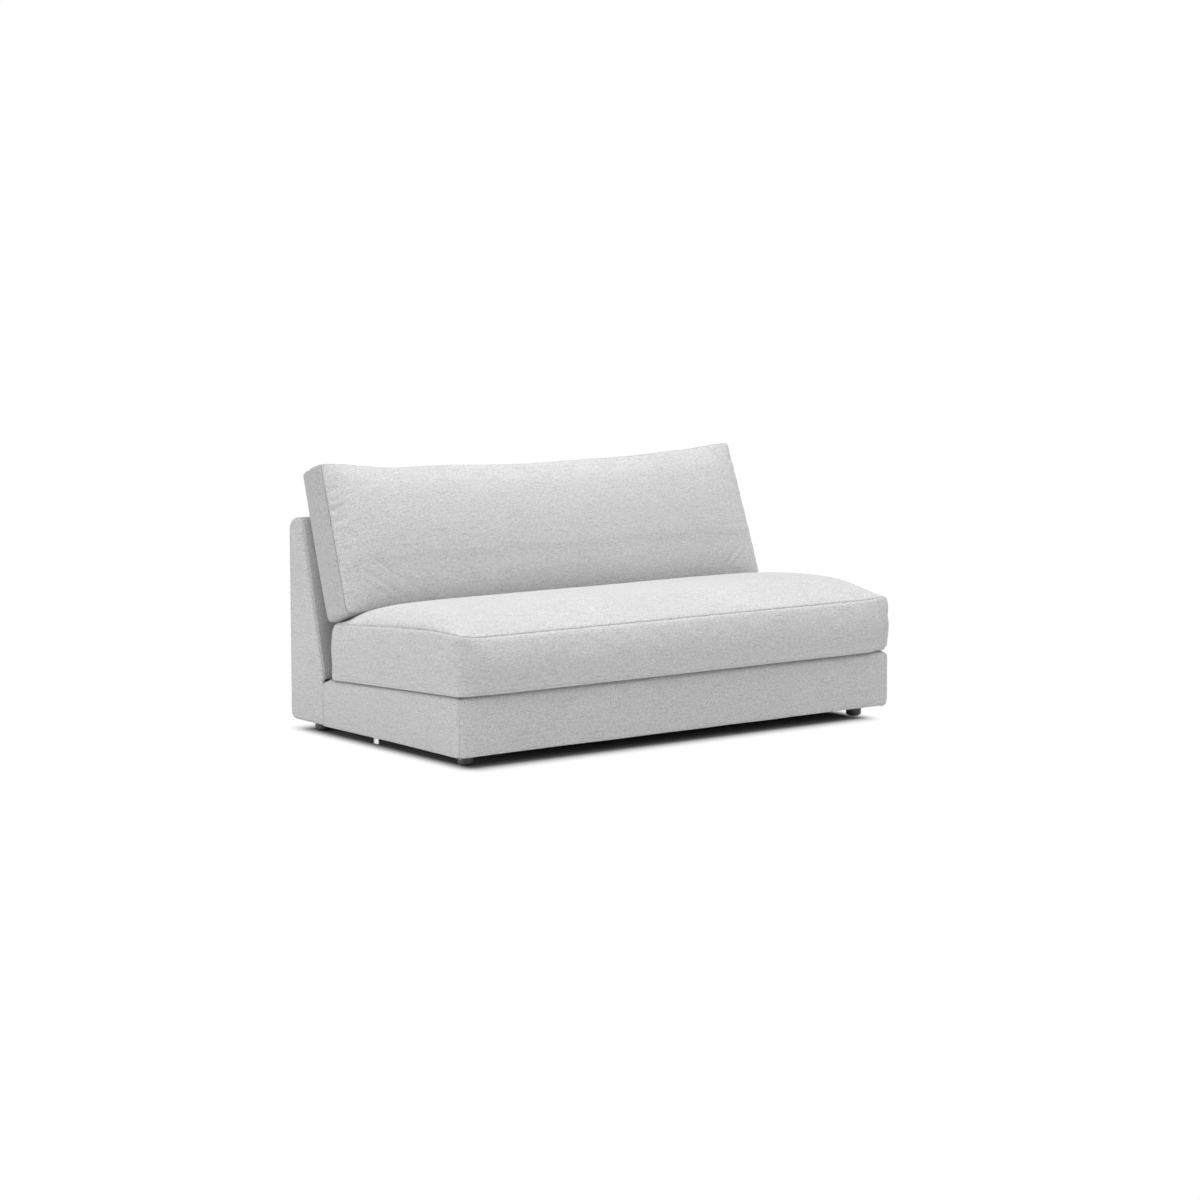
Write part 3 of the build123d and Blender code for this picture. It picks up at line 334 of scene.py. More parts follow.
def finish(name, group, values, bump=0.0, gauge=0.001, by_cloth=False, rotation=None, **plain):
    """A material: one group's colour, roughness and height on a Principled surface.

    by_cloth lays it by a piece's own cloth map; plain values go on the shader's own sockets.
    """
    material = bpy.data.materials.new(name)
    material.use_nodes = True
    tree = material.node_tree
    tree.nodes.clear()
    surface = tree.nodes.new("ShaderNodeBsdfPrincipled")
    for label, value in plain.items():
        surface.inputs[label.replace("_", " ")].default_value = value
    if by_cloth:
        where = add(tree, "ShaderNodeUVMap", uv_map="cloth").outputs[0]
    else:
        where = add(tree, "ShaderNodeTexCoord").outputs["Object"]
    if rotation:
        where = add(tree, "ShaderNodeMapping", {"Vector": where, "Rotation": rotation}).outputs[0]
    pattern = tree.nodes.new("ShaderNodeGroup")
    pattern.node_tree = group
    tree.links.new(where, pattern.inputs[0])
    for label, value in values.items():
        pattern.inputs[label].default_value = value
    # pieces laid by their cloth map take a painted shade, darker or lighter strips, from a face attribute
    if by_cloth:
        cut = add(tree, "ShaderNodeAttribute", attribute_name="cut").outputs["Fac"]
        tree.links.new(cut, pattern.inputs["Cut"])
    tree.links.new(pattern.outputs["Colour"], surface.inputs["Base Color"])
    tree.links.new(pattern.outputs["Roughness"], surface.inputs["Roughness"])
    if bump:
        height = pattern.outputs["Height"]
        relief = add(tree, "ShaderNodeBump", {"Strength": bump, "Distance": gauge, "Height": height})
        tree.links.new(relief.outputs[0], surface.inputs["Normal"])
    add(tree, "ShaderNodeOutputMaterial", {"Surface": surface.outputs[0]})
    return material


def grey(value, warm=0.0):
    """A near-neutral colour."""
    return (value * (1 + warm), value, value * (1 - warm), 1.0)


def finishes(group, *labels):
    """A function that makes finishes of one group, from a name and the values of these labels."""
    def make(name, *values, **look):
        return finish(name, group, dict(zip(labels, values)), **look)
    return make


QUARTER = math.pi / 2

weave = finishes(WEAVE, "Light yarn", "Dark yarn", "Thread", "Slub", "Heather", "Dye drift")
linen = weave(
    "Pale grey linen weave", grey(0.66, 0.001), grey(0.24, 0.001), 0.0011, 0.40, 1.50, 0.12,
    bump=0.5, gauge=0.0006, by_cloth=True, Sheen_Weight=0.12, Sheen_Roughness=0.5, Specular_IOR_Level=0.2,
)
elastic = weave(
    "Elastic webbing", (0.34, 0.24, 0.15, 1), (0.10, 0.07, 0.045, 1), 0.0026, 0.5, 0.5, 0.1,
    bump=0.7, gauge=0.001, by_cloth=True, Specular_IOR_Level=0.3,
)
zip_cloth = weave(
    "Zip tape", grey(0.56), grey(0.30), 0.0007, 0.2, 0.4, 0.05,
    bump=0.4, gauge=0.0004, rotation=(QUARTER, 0, 0), Specular_IOR_Level=0.3,
)

fibres = finishes(FIBRES, "Thick", "Thin", "Cell", "Strength")
dust_cloth = fibres(
    "Black dust cloth", (0.020, 0.020, 0.021, 1), (0.008, 0.008, 0.008, 1), 0.0028, 1.2,
    bump=0.35, gauge=0.0005, Specular_IOR_Level=0.2,
)
felt = fibres(
    "Insulator felt", (0.42, 0.41, 0.38, 1), (0.22, 0.215, 0.20, 1), 0.0035, 1.1,
    bump=0.6, gauge=0.001, Specular_IOR_Level=0.15,
)
foam = fibres(
    "Open-cell foam", (0.80, 0.74, 0.52, 1), (0.52, 0.46, 0.28, 1), 0.0016, 0.9,
    bump=0.5, gauge=0.0008, Specular_IOR_Level=0.1,
)
glide_felt = fibres(
    "Glide", (0.09, 0.085, 0.08, 1), (0.035, 0.034, 0.032, 1), 0.001, 1.0,
    bump=0.5, gauge=0.0006, Specular_IOR_Level=0.1,
)

wood = finishes(GRAIN, "Early wood", "Late wood", "Ring", "Gloss")
hardwood = ((0.56, 0.38, 0.22, 1), (0.37, 0.22, 0.115, 1), 0.010, 0.46)
beech = wood("Planed hardwood", *hardwood, bump=0.25, gauge=0.0006)
beech_depth = wood(
    "Planed hardwood, front to back", *hardwood, bump=0.25, gauge=0.0006, rotation=(0, 0, QUARTER),
)
plywood = wood(
    "Birch plywood", (0.66, 0.50, 0.31, 1), (0.48, 0.33, 0.18, 1), 0.021, 0.5,
    bump=0.25, gauge=0.0005, rotation=(0, QUARTER, 0),
)
foot_stain = wood(
    "Black stained beech", (0.088, 0.074, 0.066, 1), (0.030, 0.025, 0.023, 1), 0.004, 0.36,
    bump=0.3, gauge=0.0004, rotation=(0, QUARTER, 0), Coat_Weight=0.35, Coat_Roughness=0.3,
)

metal = finishes(PLATING, "Bright", "Dull", "Crystal", "Gloss")
zinc = metal(
    "Zinc plate", (0.72, 0.72, 0.70, 1), (0.46, 0.465, 0.46, 1), 0.0035, 0.24,
    bump=0.15, gauge=0.0003, Metallic=1.0,
)
connector_steel = metal(
    "Satin steel", (0.66, 0.66, 0.65, 1), (0.50, 0.50, 0.49, 1), 0.0022, 0.30,
    bump=0.2, gauge=0.0003, Metallic=1.0,
)
spring_steel = metal(
    "Phosphated spring wire", (0.20, 0.20, 0.21, 1), (0.08, 0.08, 0.085, 1), 0.003, 0.36,
    bump=0.2, gauge=0.0003, Metallic=0.9,
)
zip_metal = metal(
    "Nickelled slider", (0.72, 0.70, 0.66, 1), (0.50, 0.485, 0.46, 1), 0.0012, 0.18,
    bump=0.1, gauge=0.0002, Metallic=1.0,
)
thread = fibres(
    "Sewing thread", (0.60, 0.60, 0.59, 1), (0.42, 0.42, 0.41, 1), 0.0008, 1.0, Specular_IOR_Level=0.3,
)

NODES_OF_FINISH = (
    (beech, "base_front_rail base_rear_rail base_corner_blocks back_top_rail back_lumbar_rail back_sill_rail "
            "back_foot_rail back_foot_blocks"),
    (beech_depth, "base_left_rail base_right_rail base_cross_rails"),
    (plywood, "back_left_end back_right_end back_ribs"),
    (foot_stain, "feet"),
    (glide_felt, "foot_glides"),
    (zinc, "foot_plates foot_hanger_bolts joining_bolts joining_nuts connector_screws spring_clips"),
    (connector_steel, "connector_hook connector_receiver"),
    (spring_steel, "spring_tie_wires seat_springs"),
    (zip_cloth, "seat_zip_tape cushion_zip_tape"),
    (zip_metal, "seat_zip_slider cushion_zip_slider"),
    (felt, "deck_insulator"),
    (foam, "deck_pad back_pad"),
    (elastic, "back_webbing"),
    (dust_cloth, "base_dust_cover back_dust_cover"),
)
NODE_FINISH = {node: look for look, nodes in NODES_OF_FINISH for node in nodes.split()}
for node_name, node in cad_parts.items():
    node.data.materials.clear()
    node.data.materials.append(NODE_FINISH.get(node_name, linen))


# ---- meshes on a box's grid ----
def lines(length, step, close=()):
    """Places of grid lines from 0 to length: these distances from both ends, then even steps."""
    ends = [0.0, *close]
    inner = length - 2 * ends[-1]
    count = max(1, round(inner / step))
    middle = [ends[-1] + inner * i / count for i in range(count + 1)]
    return ends[:-1] + middle + [length - e for e in ends[:-1]][::-1]


def grid(low, high, step, close=()):
    """Places of grid lines from low to high."""
    return [low + v for v in lines(high - low, step, close)]


def box_form(first, second, rings, point):
    """A closed form on a box's grid: point(a, b, k) places a from first, b from second, ring k.

    The third way runs from the last face, ring 0, to the first face, ring `rings`.
    """
    points, keys, index = [], [], {}
    faces, sides = [], []

    def vertex(i, j, k):
        if (i, j, k) not in index:
            index[i, j, k] = len(points)
            points.append(point(first[i], second[j], k))
            keys.append((i, j, k))
        return index[i, j, k]

    def quad(side, *corners):
        faces.append([vertex(*c) for c in corners])
        sides.append(side)

    n, m = len(first) - 1, len(second) - 1
    for k in range(rings):
        for i in range(n):
            quad("low_second", (i, 0, k), (i + 1, 0, k), (i + 1, 0, k + 1), (i, 0, k + 1))
            quad("high_second", (i + 1, m, k), (i, m, k), (i, m, k + 1), (i + 1, m, k + 1))
        for j in range(m):
            quad("low_first", (0, j + 1, k), (0, j, k), (0, j, k + 1), (0, j + 1, k + 1))
            quad("high_first", (n, j, k), (n, j + 1, k), (n, j + 1, k + 1), (n, j, k + 1))
    for i in range(n):
        for j in range(m):
            quad("head", (i, j, rings), (i + 1, j, rings), (i + 1, j + 1, rings), (i, j + 1, rings))
            quad("tail", (i, j + 1, 0), (i + 1, j + 1, 0), (i + 1, j, 0), (i, j, 0))
    return {
        "points": points, "keys": keys, "faces": faces, "sides": sides, "first": first, "second": second,
    }


def cloth_place(form, side, key, heights):
    """Where a grid point lies on its own piece of cloth, in metres."""
    i, j, k = key
    a, b = form["first"][i], form["second"][j]
    width, depth = form["first"][-1] - form["first"][0], form["second"][-1] - form["second"][0]
    if side in ("head", "tail"):
        return (a + (5.3 if side == "tail" else 0.0), b + 2.1)
    h = heights[k]
    along = {
        "low_second": a, "high_second": 2 * width + depth - a,
        "low_first": form["first"][0] - (b - form["second"][0]), "high_first": form["first"][-1] + b,
    }[side]
    return (along, h)


def object_from(name, points, faces, edges=()):
    """A mesh object, put in the scene."""
    mesh = bpy.data.meshes.new(name)
    mesh.from_pydata(points, edges, faces)
    obj = bpy.data.objects.new(name, mesh)
    bpy.context.scene.collection.objects.link(obj)
    return obj


def piece_from(form, name, heights, keep=None):
    """A mesh object from the form's faces that keep(side, centre) chooses, with its cloth map."""
    chosen = []
    for face, side in zip(form["faces"], form["sides"]):
        corners = [form["points"][v] for v in face]
        if keep is None or keep(side, sum(corners, Vector()) / 4):
            chosen.append((face, side))
    used = sorted({v for face, _ in chosen for v in face})
    renumber = {v: i for i, v in enumerate(used)}
    obj = object_from(name, [form["points"][v] for v in used], [[renumber[v] for v in f] for f, _ in chosen])
    layer = obj.data.uv_layers.new(name="cloth")
    flat = []
    for face, side in chosen:
        for v in face:
            flat += cloth_place(form, side, form["keys"][v], heights)
    layer.data.foreach_set("uv", flat)
    obj.data.polygons.foreach_set("use_smooth", [True] * len(obj.data.polygons))
    return obj


def cloth_map(obj, where):
    """Lays a piece's cloth map from the places of its points."""
    layer = obj.data.uv_layers["cloth"].data
    for loop in obj.data.loops:
        layer[loop.index].uv = where(obj.data.vertices[loop.vertex_index].co)


def apply_modifiers(obj):
    """Turns an object's modifiers into its mesh."""
    bpy.context.view_layer.update()
    graph = bpy.context.evaluated_depsgraph_get()
    mesh = bpy.data.meshes.new_from_object(
        obj.evaluated_get(graph), preserve_all_data_layers=True, depsgraph=graph,
    )
    old = obj.data
    obj.modifiers.clear()
    obj.data = mesh
    bpy.data.meshes.remove(old)
    mesh.name = obj.name
    return obj


def thicken(obj, thickness):
    """Gives a skin its thickness, inwards."""
    solidify = obj.modifiers.new("Thickness", "SOLIDIFY")
    solidify.thickness = thickness
    solidify.offset = -1.0
    solidify.use_even_offset = False
    return apply_modifiers(obj)


def refine(obj):
    """Rounds a mesh off, with one step of subdivision."""
    smooth = obj.modifiers.new("Smooth", "SUBSURF")
    smooth.levels = smooth.render_levels = 1
    smooth.boundary_smooth = "PRESERVE_CORNERS"
    apply_modifiers(obj)


def place(obj, body, material, nodes=()):
    """Finishes a piece: its material, its smooth shading, its body, and the nodes that it stands for, which
    it hides.
    """
    obj.data.materials.clear()
    obj.data.materials.append(material)
    if not obj.data.polygons[0].use_smooth:
        obj.data.polygons.foreach_set("use_smooth", [True] * len(obj.data.polygons))
    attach(obj, body)
    if nodes:
        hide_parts(*nodes)


def round_plan(a, b, half, depth, radii, out):
    """A point of a rectangle, moved onto it with round corners and its edge grown by out."""
    x = a * (half + out) / half
    y = b / depth * (depth + 2 * out) - out
    front = y < depth / 2
    radius = (radii[0] if front else radii[1]) + out
    if radius <= 0:
        return x, y
    u = (abs(x) - (half + out - radius)) / radius
    v = ((radius - out) - y if front else y - (depth + out - radius)) / radius
    if u > 0 and v > 0:
        across, deep = u * math.sqrt(max(0, 1 - v * v / 2)), v * math.sqrt(max(0, 1 - u * u / 2))
        x = math.copysign(half + out - radius + radius * across, x)
        y = (radius - out) - radius * deep if front else depth + out - radius + radius * deep
    return x, y


def lengths(rings):
    """Running length along a section given as (out, height) points."""
    total, found = 0.0, [0.0]
    for (a, b), (c, d) in zip(rings, rings[1:]):
        total += math.hypot(c - a, d - b)
        found.append(total)
    return found


# ---- seat cushion ----
def seat_crown(x, y):
    """Rise of the seat cushion's top panel above its seam."""
    side = max(0.0, SEAT_HALF - abs(x))
    across = 1 - math.exp(-(side / 0.044) ** 0.86)
    share = min(1.0, max(0.0, y / SEAT_DEPTH))
    deep = max(0.0, 1 - abs(2 * share - 1) ** 2.8) ** 0.82
    return SEAT_CROWN * across * deep


def seat_seam_lift(x, y):
    """The top seam rides up along the sides and sits a little low along the front."""
    side = SEAT_HALF - abs(x)
    along = near(y - 0.17, 0.176 if y < 0.17 else 0.45)
    front = 0.0060 * (1 - near(side, 0.045)) * near(y, 0.07)
    return (0.0155 * along - 0.005) * near(side, 0.05 + 0.05 * ease(y / 0.12)) - front


SEAT_RINGS = [(-0.0150, 0.0), (-0.0095, 0.0007), (-0.0055, 0.0020), (-0.0028, 0.0042), (-0.0012, 0.0066)]
SEAT_LOW_SEAM = 0.0095
for step in lines(SEAT_BOXING - SEAT_LOW_SEAM, BOXING_STEP, EDGE_STEPS):
    height = SEAT_LOW_SEAM + step
    under = max(0.0, 1 - height / SEAT_FOOT_ROUND)
    SEAT_RINGS.append((-SEAT_FOOT_ROUND * (1 - math.sqrt(1 - under * under)), height))
SEAT_HEIGHTS = lengths(SEAT_RINGS)
SEAT_ZIP_HALF = 0.700
SEAT_ZIP_BAND = 0.0155
SEAT_ZIP_DEPTH = 0.0064
SEAT_TOP_SEAM, SEAT_FOOT_SEAM, SEAT_TOP_GROOVE = 0.0034, 0.0022, 0.0036
SEAT_BULGE_FROM = 0.082


def seat_shoulder(z):
    """1 where the seat cushion's boxing stands out full, 0 at its top seam."""
    over = min(1.0, max(0.0, (z - SEAT_BULGE_FROM) / (SEAT_BOXING - SEAT_BULGE_FROM)))
    return math.sqrt(1 - over ** 2)


def seat_bulge(x, y, z):
    """How far the seat cushion's boxing stands out: full low down, rounding in to the top seam."""
    deep = y / SEAT_DEPTH
    full = 0.0130 + 0.0120 * ease((SEAT_HALF - abs(x) - 0.03) / 0.14)
    front = ease((0.10 - deep) / 0.10)
    full = full * front + 0.0030 * ease((deep - 0.9) / 0.1)
    full += 0.0050 if x < 0 else 0.0030
    full -= 0.0110 * (1 - ease(z / 0.026)) if SEAT_HALF - x < 0.06 else 0.0
    tuck = 0.0060 * front * ease((0.092 - z) / 0.085)
    return full * seat_shoulder(z) - tuck + 0.0020 * near(z - 0.008, 0.010)


def seat_point(x, y, k):
    """A point of the seat cushion's cover."""
    out, z = SEAT_RINGS[k]
    top = k == len(SEAT_RINGS) - 1
    level = z / SEAT_BOXING
    edge = max(0.0, min(SEAT_HALF - abs(x), y, SEAT_DEPTH - y)) if k == 0 or top else 0.0
    corner = math.hypot(SEAT_HALF - abs(x), min(y, SEAT_DEPTH - y))
    if edge == 0.0:
        out += seat_bulge(x, y, z)
        groove = SEAT_TOP_SEAM * near(SEAT_BOXING - z, SEAM_WIDTH)
        out -= groove + SEAT_FOOT_SEAM * near(z - SEAT_LOW_SEAM, SEAM_WIDTH)
        out += 0.0012 * ripple(3.1 * x, 3.1 * y, 5 * z) * ease(6 * (1 - level))
        out += 0.0008 * ripple(30 * x, 30 * y, 1.7) * near(SEAT_BOXING - z - 0.006, 0.016)
        out += 0.0006 * ripple(30 * x, 30 * y, 1.7) * near(z - SEAT_LOW_SEAM - 0.005, 0.010)
        in_zip = abs(x) < SEAT_ZIP_HALF + 0.004 and abs(z - SEAT_BOXING / 2) < SEAT_ZIP_BAND
        if y > SEAT_DEPTH - AT_EDGE and in_zip:
            out = -SEAT_ZIP_DEPTH
    if x < 0:
        radii = (0.058 - 0.022 * near(level, 0.12) - 0.024 * near(1 - level, 0.12), 0.014)
    else:
        radii = (0.022 - 0.016 * ease((level - 0.55) / 0.45), 0.014)
    px, py = round_plan(x, y, SEAT_HALF, SEAT_DEPTH, radii, out)
    px -= px / SEAT_HALF * (0.011 if x < 0 else 0.006) * (1 - seat_shoulder(z))
    if top:
        z += seat_crown(x, y)
        z -= SEAT_TOP_GROOVE * near(edge, SEAM_WIDTH)
        z += 0.0020 * ripple(2.3 * x + 7, 2.9 * y, 0.3) * ease(edge / 0.1)
        z += 0.0008 * ripple(34 * x, 34 * y, 6.1) * near(edge - 0.012, 0.016)
    if z > 0.02:
        z += seat_seam_lift(x, y) * ease(level)
        turn = math.atan2(min(y, SEAT_DEPTH - y) + 0.004, SEAT_HALF - abs(x) + 0.004)
        crease = near(corner - 0.022, 0.022) * math.sin(6.5 * turn + 1.1 * math.copysign(1, x))
        z += 0.0026 * crease * (1.0 if top else near(SEAT_BOXING - z, 0.03))
    return on_deck(px, py, z + SOFT_GAP)


def seat_top_height(x, y):
    """Height of the seat cushion's top at a place in the model's frame."""
    local = (y - FRONT) / math.cos(PITCH)
    rise = SEAT_BOXING + seat_crown(x, local - SEAT_BOXING * math.sin(PITCH))
    return deck_height(y) + rise / math.cos(PITCH)


CLOTH_FRAMES = 20


def pressed(obj, held, cap, rest):
    """Blows a cushion's cover up a little, as its filling does: cloth, pinned where held is 1.

    No point moves further than cap; rest is how much larger the cloth is than its mesh, when negative.
    """
    group = obj.vertex_groups.new(name="held")
    for index, weight in enumerate(held):
        if weight > 0.01:
            group.add([index], min(1.0, weight), "REPLACE")
    before = np.empty(len(obj.data.vertices) * 3)
    obj.data.vertices.foreach_get("co", before)
    cloth = obj.modifiers.new("Cloth", "CLOTH")
    for label, value in (
        ("quality", 5), ("mass", 0.3), ("tension_stiffness", 12), ("compression_stiffness", 12),
        ("shear_stiffness", 5), ("bending_stiffness", 0.25), ("use_pressure", True),
        ("uniform_pressure_force", 4.0), ("vertex_group_mass", "held"), ("pin_stiffness", 1.0),
        ("shrink_min", rest),
    ):
        setattr(cloth.settings, label, value)
    cloth.settings.effector_weights.gravity = 0.0
    cloth.collision_settings.use_collision = False
    cloth.collision_settings.use_self_collision = False
    scene = bpy.context.scene
    for number in range(1, CLOTH_FRAMES + 1):
        scene.frame_set(number)
    graph = bpy.context.evaluated_depsgraph_get()
    after = np.empty_like(before)
    obj.evaluated_get(graph).data.vertices.foreach_get("co", after)
    obj.modifiers.clear()
    scene.frame_set(1)
    moved = (after - before).reshape(-1, 3)
    size = np.linalg.norm(moved, axis=1, keepdims=True)
    moved *= np.minimum(1.0, cap / np.maximum(size, 1e-9))
    moved *= (1 - np.minimum(1.0, np.array(held)))[:, None]
    obj.data.vertices.foreach_set("co", (before.reshape(-1, 3) + moved).ravel())
    obj.data.update()
    obj.vertex_groups.clear()


def seat_cushion():
    """The seat cushion's cover, in one closed piece."""
    across = grid(-SEAT_HALF, SEAT_HALF, PANEL_STEP, EDGE_STEPS)
    deep = lines(SEAT_DEPTH, PANEL_STEP, EDGE_STEPS)
    form = box_form(across, deep, len(SEAT_RINGS) - 1, seat_point)
    obj = piece_from(form, "seat_cushion_cover", SEAT_HEIGHTS)
    held = []
    last = len(SEAT_RINGS) - 1
    for i, j, k in form["keys"]:
        x, y = across[i], deep[j]
        edge = min(SEAT_HALF - abs(x), y, SEAT_DEPTH - y)
        z = SEAT_RINGS[k][1]
        if k == last:
            held.append(1 - ease((edge - SEAM_HOLD) / SEAM_RELEASE))
        elif k == 0:
            held.append(1.0)
        else:
            clear = min(SEAT_BOXING - z, z - 0.008)
            zip_near = 1.0 if y > SEAT_DEPTH - AT_EDGE and abs(z - SEAT_BOXING / 2) < 0.03 else 0.0
            held.append(max(zip_near, 1 - ease((clear - BOXING_HOLD) / SEAM_RELEASE)))
    pressed(obj, held, 0.005, -0.006)
    refine(obj)
    place(obj, "seat_cushion", linen, (
        "seat_top_panel", "seat_bottom_panel", "seat_front_boxing", "seat_rear_boxing", "seat_side_boxings",
        "seat_core",
    ))


# ---- back cushion ----
CUSHION_RINGS = [(0.0, 0.0)]
for step in lines(CUSHION_BOXING, BOXING_STEP, EDGE_STEPS)[1:]:
    CUSHION_RINGS.append((0.0, step))
CUSHION_HEIGHTS = lengths(CUSHION_RINGS)
CUSHION_GROOVE, CUSHION_FACE_GROOVE = 0.0046, 0.0048
CUSHION_ZIP_HALF, CUSHION_ZIP_UP, CUSHION_ZIP_BAND, CUSHION_ZIP_DEPTH = 0.650, 0.037, 0.0125, 0.0112

# place along the cushion, rise and half width of each wave of its top edge
CUSHION_TOP_WAVES = (
    (-0.62, -0.0058, 0.12), (-0.40, 0.0050, 0.13), (-0.03, -0.0050, 0.18), (0.48, 0.0028, 0.12),
    (0.70, -0.0032, 0.09),
)


def cushion_share(x):
    """How full the back cushion is at x, from its end."""
    side = max(0.0, CUSHION_HALF - abs(x))
    return 1 - math.exp(-(side / 0.075) ** 0.82)


def cushion_point(x, z, k):
    """A point of the back cushion's cover."""
    out, from_rear = CUSHION_RINGS[k]
    last = len(CUSHION_RINGS) - 1
    y = CUSHION_BOXING - from_rear
    up = z / CUSHION_HEIGHT
    edge = min(CUSHION_HALF - abs(x), z, CUSHION_HEIGHT - z)
    flat = k in (0, last)
    if not flat:
        edge = 0.0
    if edge < 1e-9:
        side_bulge = math.sin(math.pi * from_rear / CUSHION_BOXING)
        out += 0.006 * side_bulge
        groove = CUSHION_GROOVE * near(from_rear, SEAM_WIDTH)
        out -= groove + CUSHION_GROOVE * near(CUSHION_BOXING - from_rear, SEAM_WIDTH)
        out += 0.0012 * ripple(6 * x, 6 * z, 9 * from_rear) * side_bulge
    px, pz = round_plan(x, z, CUSHION_HALF, CUSHION_HEIGHT, (0.024, CUSHION_CORNER), out)
    px -= math.copysign(0.013 * up * near(CUSHION_HALF - abs(x), 0.3), x)
    full = cushion_share(x)
    sag = CUSHION_SAG * ease((CUSHION_HALF - abs(x) - 0.02) / 0.46) ** 0.8
    pz -= sag * max(0.0, up) ** 2
    for middle, high, wide in CUSHION_TOP_WAVES:
        pz += high * near(x - middle, wide) * max(0.0, up) ** 4
    belly = 2 * max(0.0, up) ** 0.86 - 1
    tall = max(0.0, 1 - abs(belly) ** (2.9 if belly < 0 else 2.4)) ** (0.60 if belly < 0 else 0.78)
    if flat:
        crown = full * tall
        fold = near(edge - 0.004, 0.03)
        along = z if CUSHION_HALF - abs(x) < min(z, CUSHION_HEIGHT - z) else x
        pucker = ripple(38 * along, 4 * edge, 2.2 + math.copysign(3, x))
        pucker += 0.5 * ripple(75 * along, 8 * edge, 9.1)
        strong = 0.0032 if CUSHION_HALF - abs(x) < min(z, CUSHION_HEIGHT - z) and up > 0.35 else 0.0014
        swell = 0.0030 * ripple(2.1 * x, 3.4 * z, 4.4) * ease(edge / 0.12)
        if k == last:
            y -= CUSHION_CROWN * crown + swell
            y += CUSHION_FACE_GROOVE * near(edge, SEAM_WIDTH) - strong * pucker * fold * ease(edge / 0.006)
        else:
            y += CUSHION_REAR_CROWN * crown + swell
            y -= CUSHION_FACE_GROOVE * near(edge, SEAM_WIDTH) - 0.0016 * pucker * fold * ease(edge / 0.006)
            beside = abs(px) - CUSHION_ZIP_HALF - 0.002
            zip_gap = max(abs(pz - CUSHION_ZIP_UP) - CUSHION_ZIP_BAND, beside, 0.0)
            y = min(y, CUSHION_BOXING + CUSHION_ZIP_DEPTH + zip_gap * 1.6 + 0.002)
    spot = on_cushion(px, y, pz)
    wall = back_front(spot.z) - SOFT_GAP
    if spot.z < TOP + 0.004 and spot.y > wall:
        spot.y = wall
    elif spot.z < TOP + 0.03 and spot.y > wall:
        spot.y = wall + (spot.y - wall) * ease((spot.z - TOP - 0.004) / 0.026)
    floor = seat_top_height(spot.x, spot.y) + SOFT_GAP + 0.0012
    if spot.z < floor:
        spot.z = floor
    return spot


def paint_boxing_shade(obj, shade):
    """Marks boxing strips with a painted shade: their colour is made this much lighter or darker, standing in
    for how the light falls on them.
    """
    layer = obj.data.uv_layers["cloth"].data
    marks = obj.data.attributes.new("cut", "FLOAT", "FACE")
    for polygon, mark in zip(obj.data.polygons, marks.data):
        mark.value = shade if layer[polygon.loop_start].uv.y < 1.0 else 0.0


def gathers(obj):
    """Short slanting puckers along the side seams of the back cushion's front, and soft drag folds below."""
    up = Vector((0, math.sin(CUSHION_TILT), math.cos(CUSHION_TILT)))
    foot = Vector((0, CUSHION_FOOT_Y, CUSHION_FOOT_Z))
    moves = []
    for vertex in obj.data.vertices:
        z = (vertex.co - foot).dot(up)
        side = CUSHION_HALF - abs(vertex.co.x)
        ways = vertex.normal.copy()
        move = 0.0
        if ways.y < -0.2 and side < 0.30:
            kind = 1.3 if vertex.co.x < 0 else 5.3
            lean = z + 4.0 * (z - 0.42) * side
            length = 0.026 + 0.014 * ripple(24 * lean, 2.0, kind)
            drift = lean / 0.031 + 1.3 * ripple(8 * z, kind, 0.2)
            ridge = math.sin(math.tau * (drift + 0.5 * ripple(21 * z, kind, 4.2)))
            where = ease((z - 0.20) / 0.10) * ease((CUSHION_HEIGHT - 0.02 - z) / 0.07)
            strong = (0.0007 if vertex.co.x < 0 else 0.0002) + 0.0022 * ripple(17 * lean, 6.2, kind)
            move += max(0.0, strong) * ridge * near(side - 0.018, length) * where * ease(side / 0.018)
            for start, reach, high in ((0.150, 0.10, 0.0015), (0.185, 0.13, 0.0018), (0.245, 0.16, 0.0013)):
                fold = near(z + 0.75 * side - start, 0.007) * near(side - reach, 0.06)
                move -= high * fold * ease(side / 0.03)
        moves.append(ways * move)
    for vertex, move in zip(obj.data.vertices, moves):
        vertex.co += move
    obj.data.update()


HOLD_ABOVE_SEAT = 0.22


def back_cushion():
    """The back cushion's cover, in one closed piece."""
    across = grid(-CUSHION_HALF, CUSHION_HALF, PANEL_STEP, EDGE_STEPS)
    up = lines(CUSHION_HEIGHT, BACK_PANEL_STEP, EDGE_STEPS)
    form = box_form(across, up, len(CUSHION_RINGS) - 1, cushion_point)
    obj = piece_from(form, "back_cushion_cover", CUSHION_HEIGHTS)
    held = []
    last = len(CUSHION_RINGS) - 1
    for (i, j, k), spot in zip(form["keys"], form["points"]):
        x, z = across[i], up[j]
        edge = min(CUSHION_HALF - abs(x), z, CUSHION_HEIGHT - z)
        if k in (0, last):
            weight = 1 - ease((edge - SEAM_HOLD) / SEAM_RELEASE)
        else:
            clear = min(CUSHION_RINGS[k][1], CUSHION_BOXING - CUSHION_RINGS[k][1])
            weight = 1 - ease((clear - BOXING_HOLD) / SEAM_RELEASE)
        if spot.z < TOP + 0.03 and spot.y > back_front(spot.z) - 0.004:
            weight = 1.0
        above = spot.z - seat_top_height(spot.x, spot.y) - 0.02
        by_zip = 1 - ease((z - 0.09) / 0.10) if k == 0 else 0.0
        held.append(max(weight, 1 - ease(above / HOLD_ABOVE_SEAT), by_zip))
    pressed(obj, held, 0.004, -0.010)
    refine(obj)
    gathers(obj)
    # painted shade: the cushion's boxing strips are coloured 15 % darker
    paint_boxing_shade(obj, -0.15)
    place(obj, "back_cushion", linen, (
        "cushion_front_panel", "cushion_rear_panel", "cushion_top_boxing", "cushion_bottom_boxing",
        "cushion_side_boxings", "cushion_core",
    ))


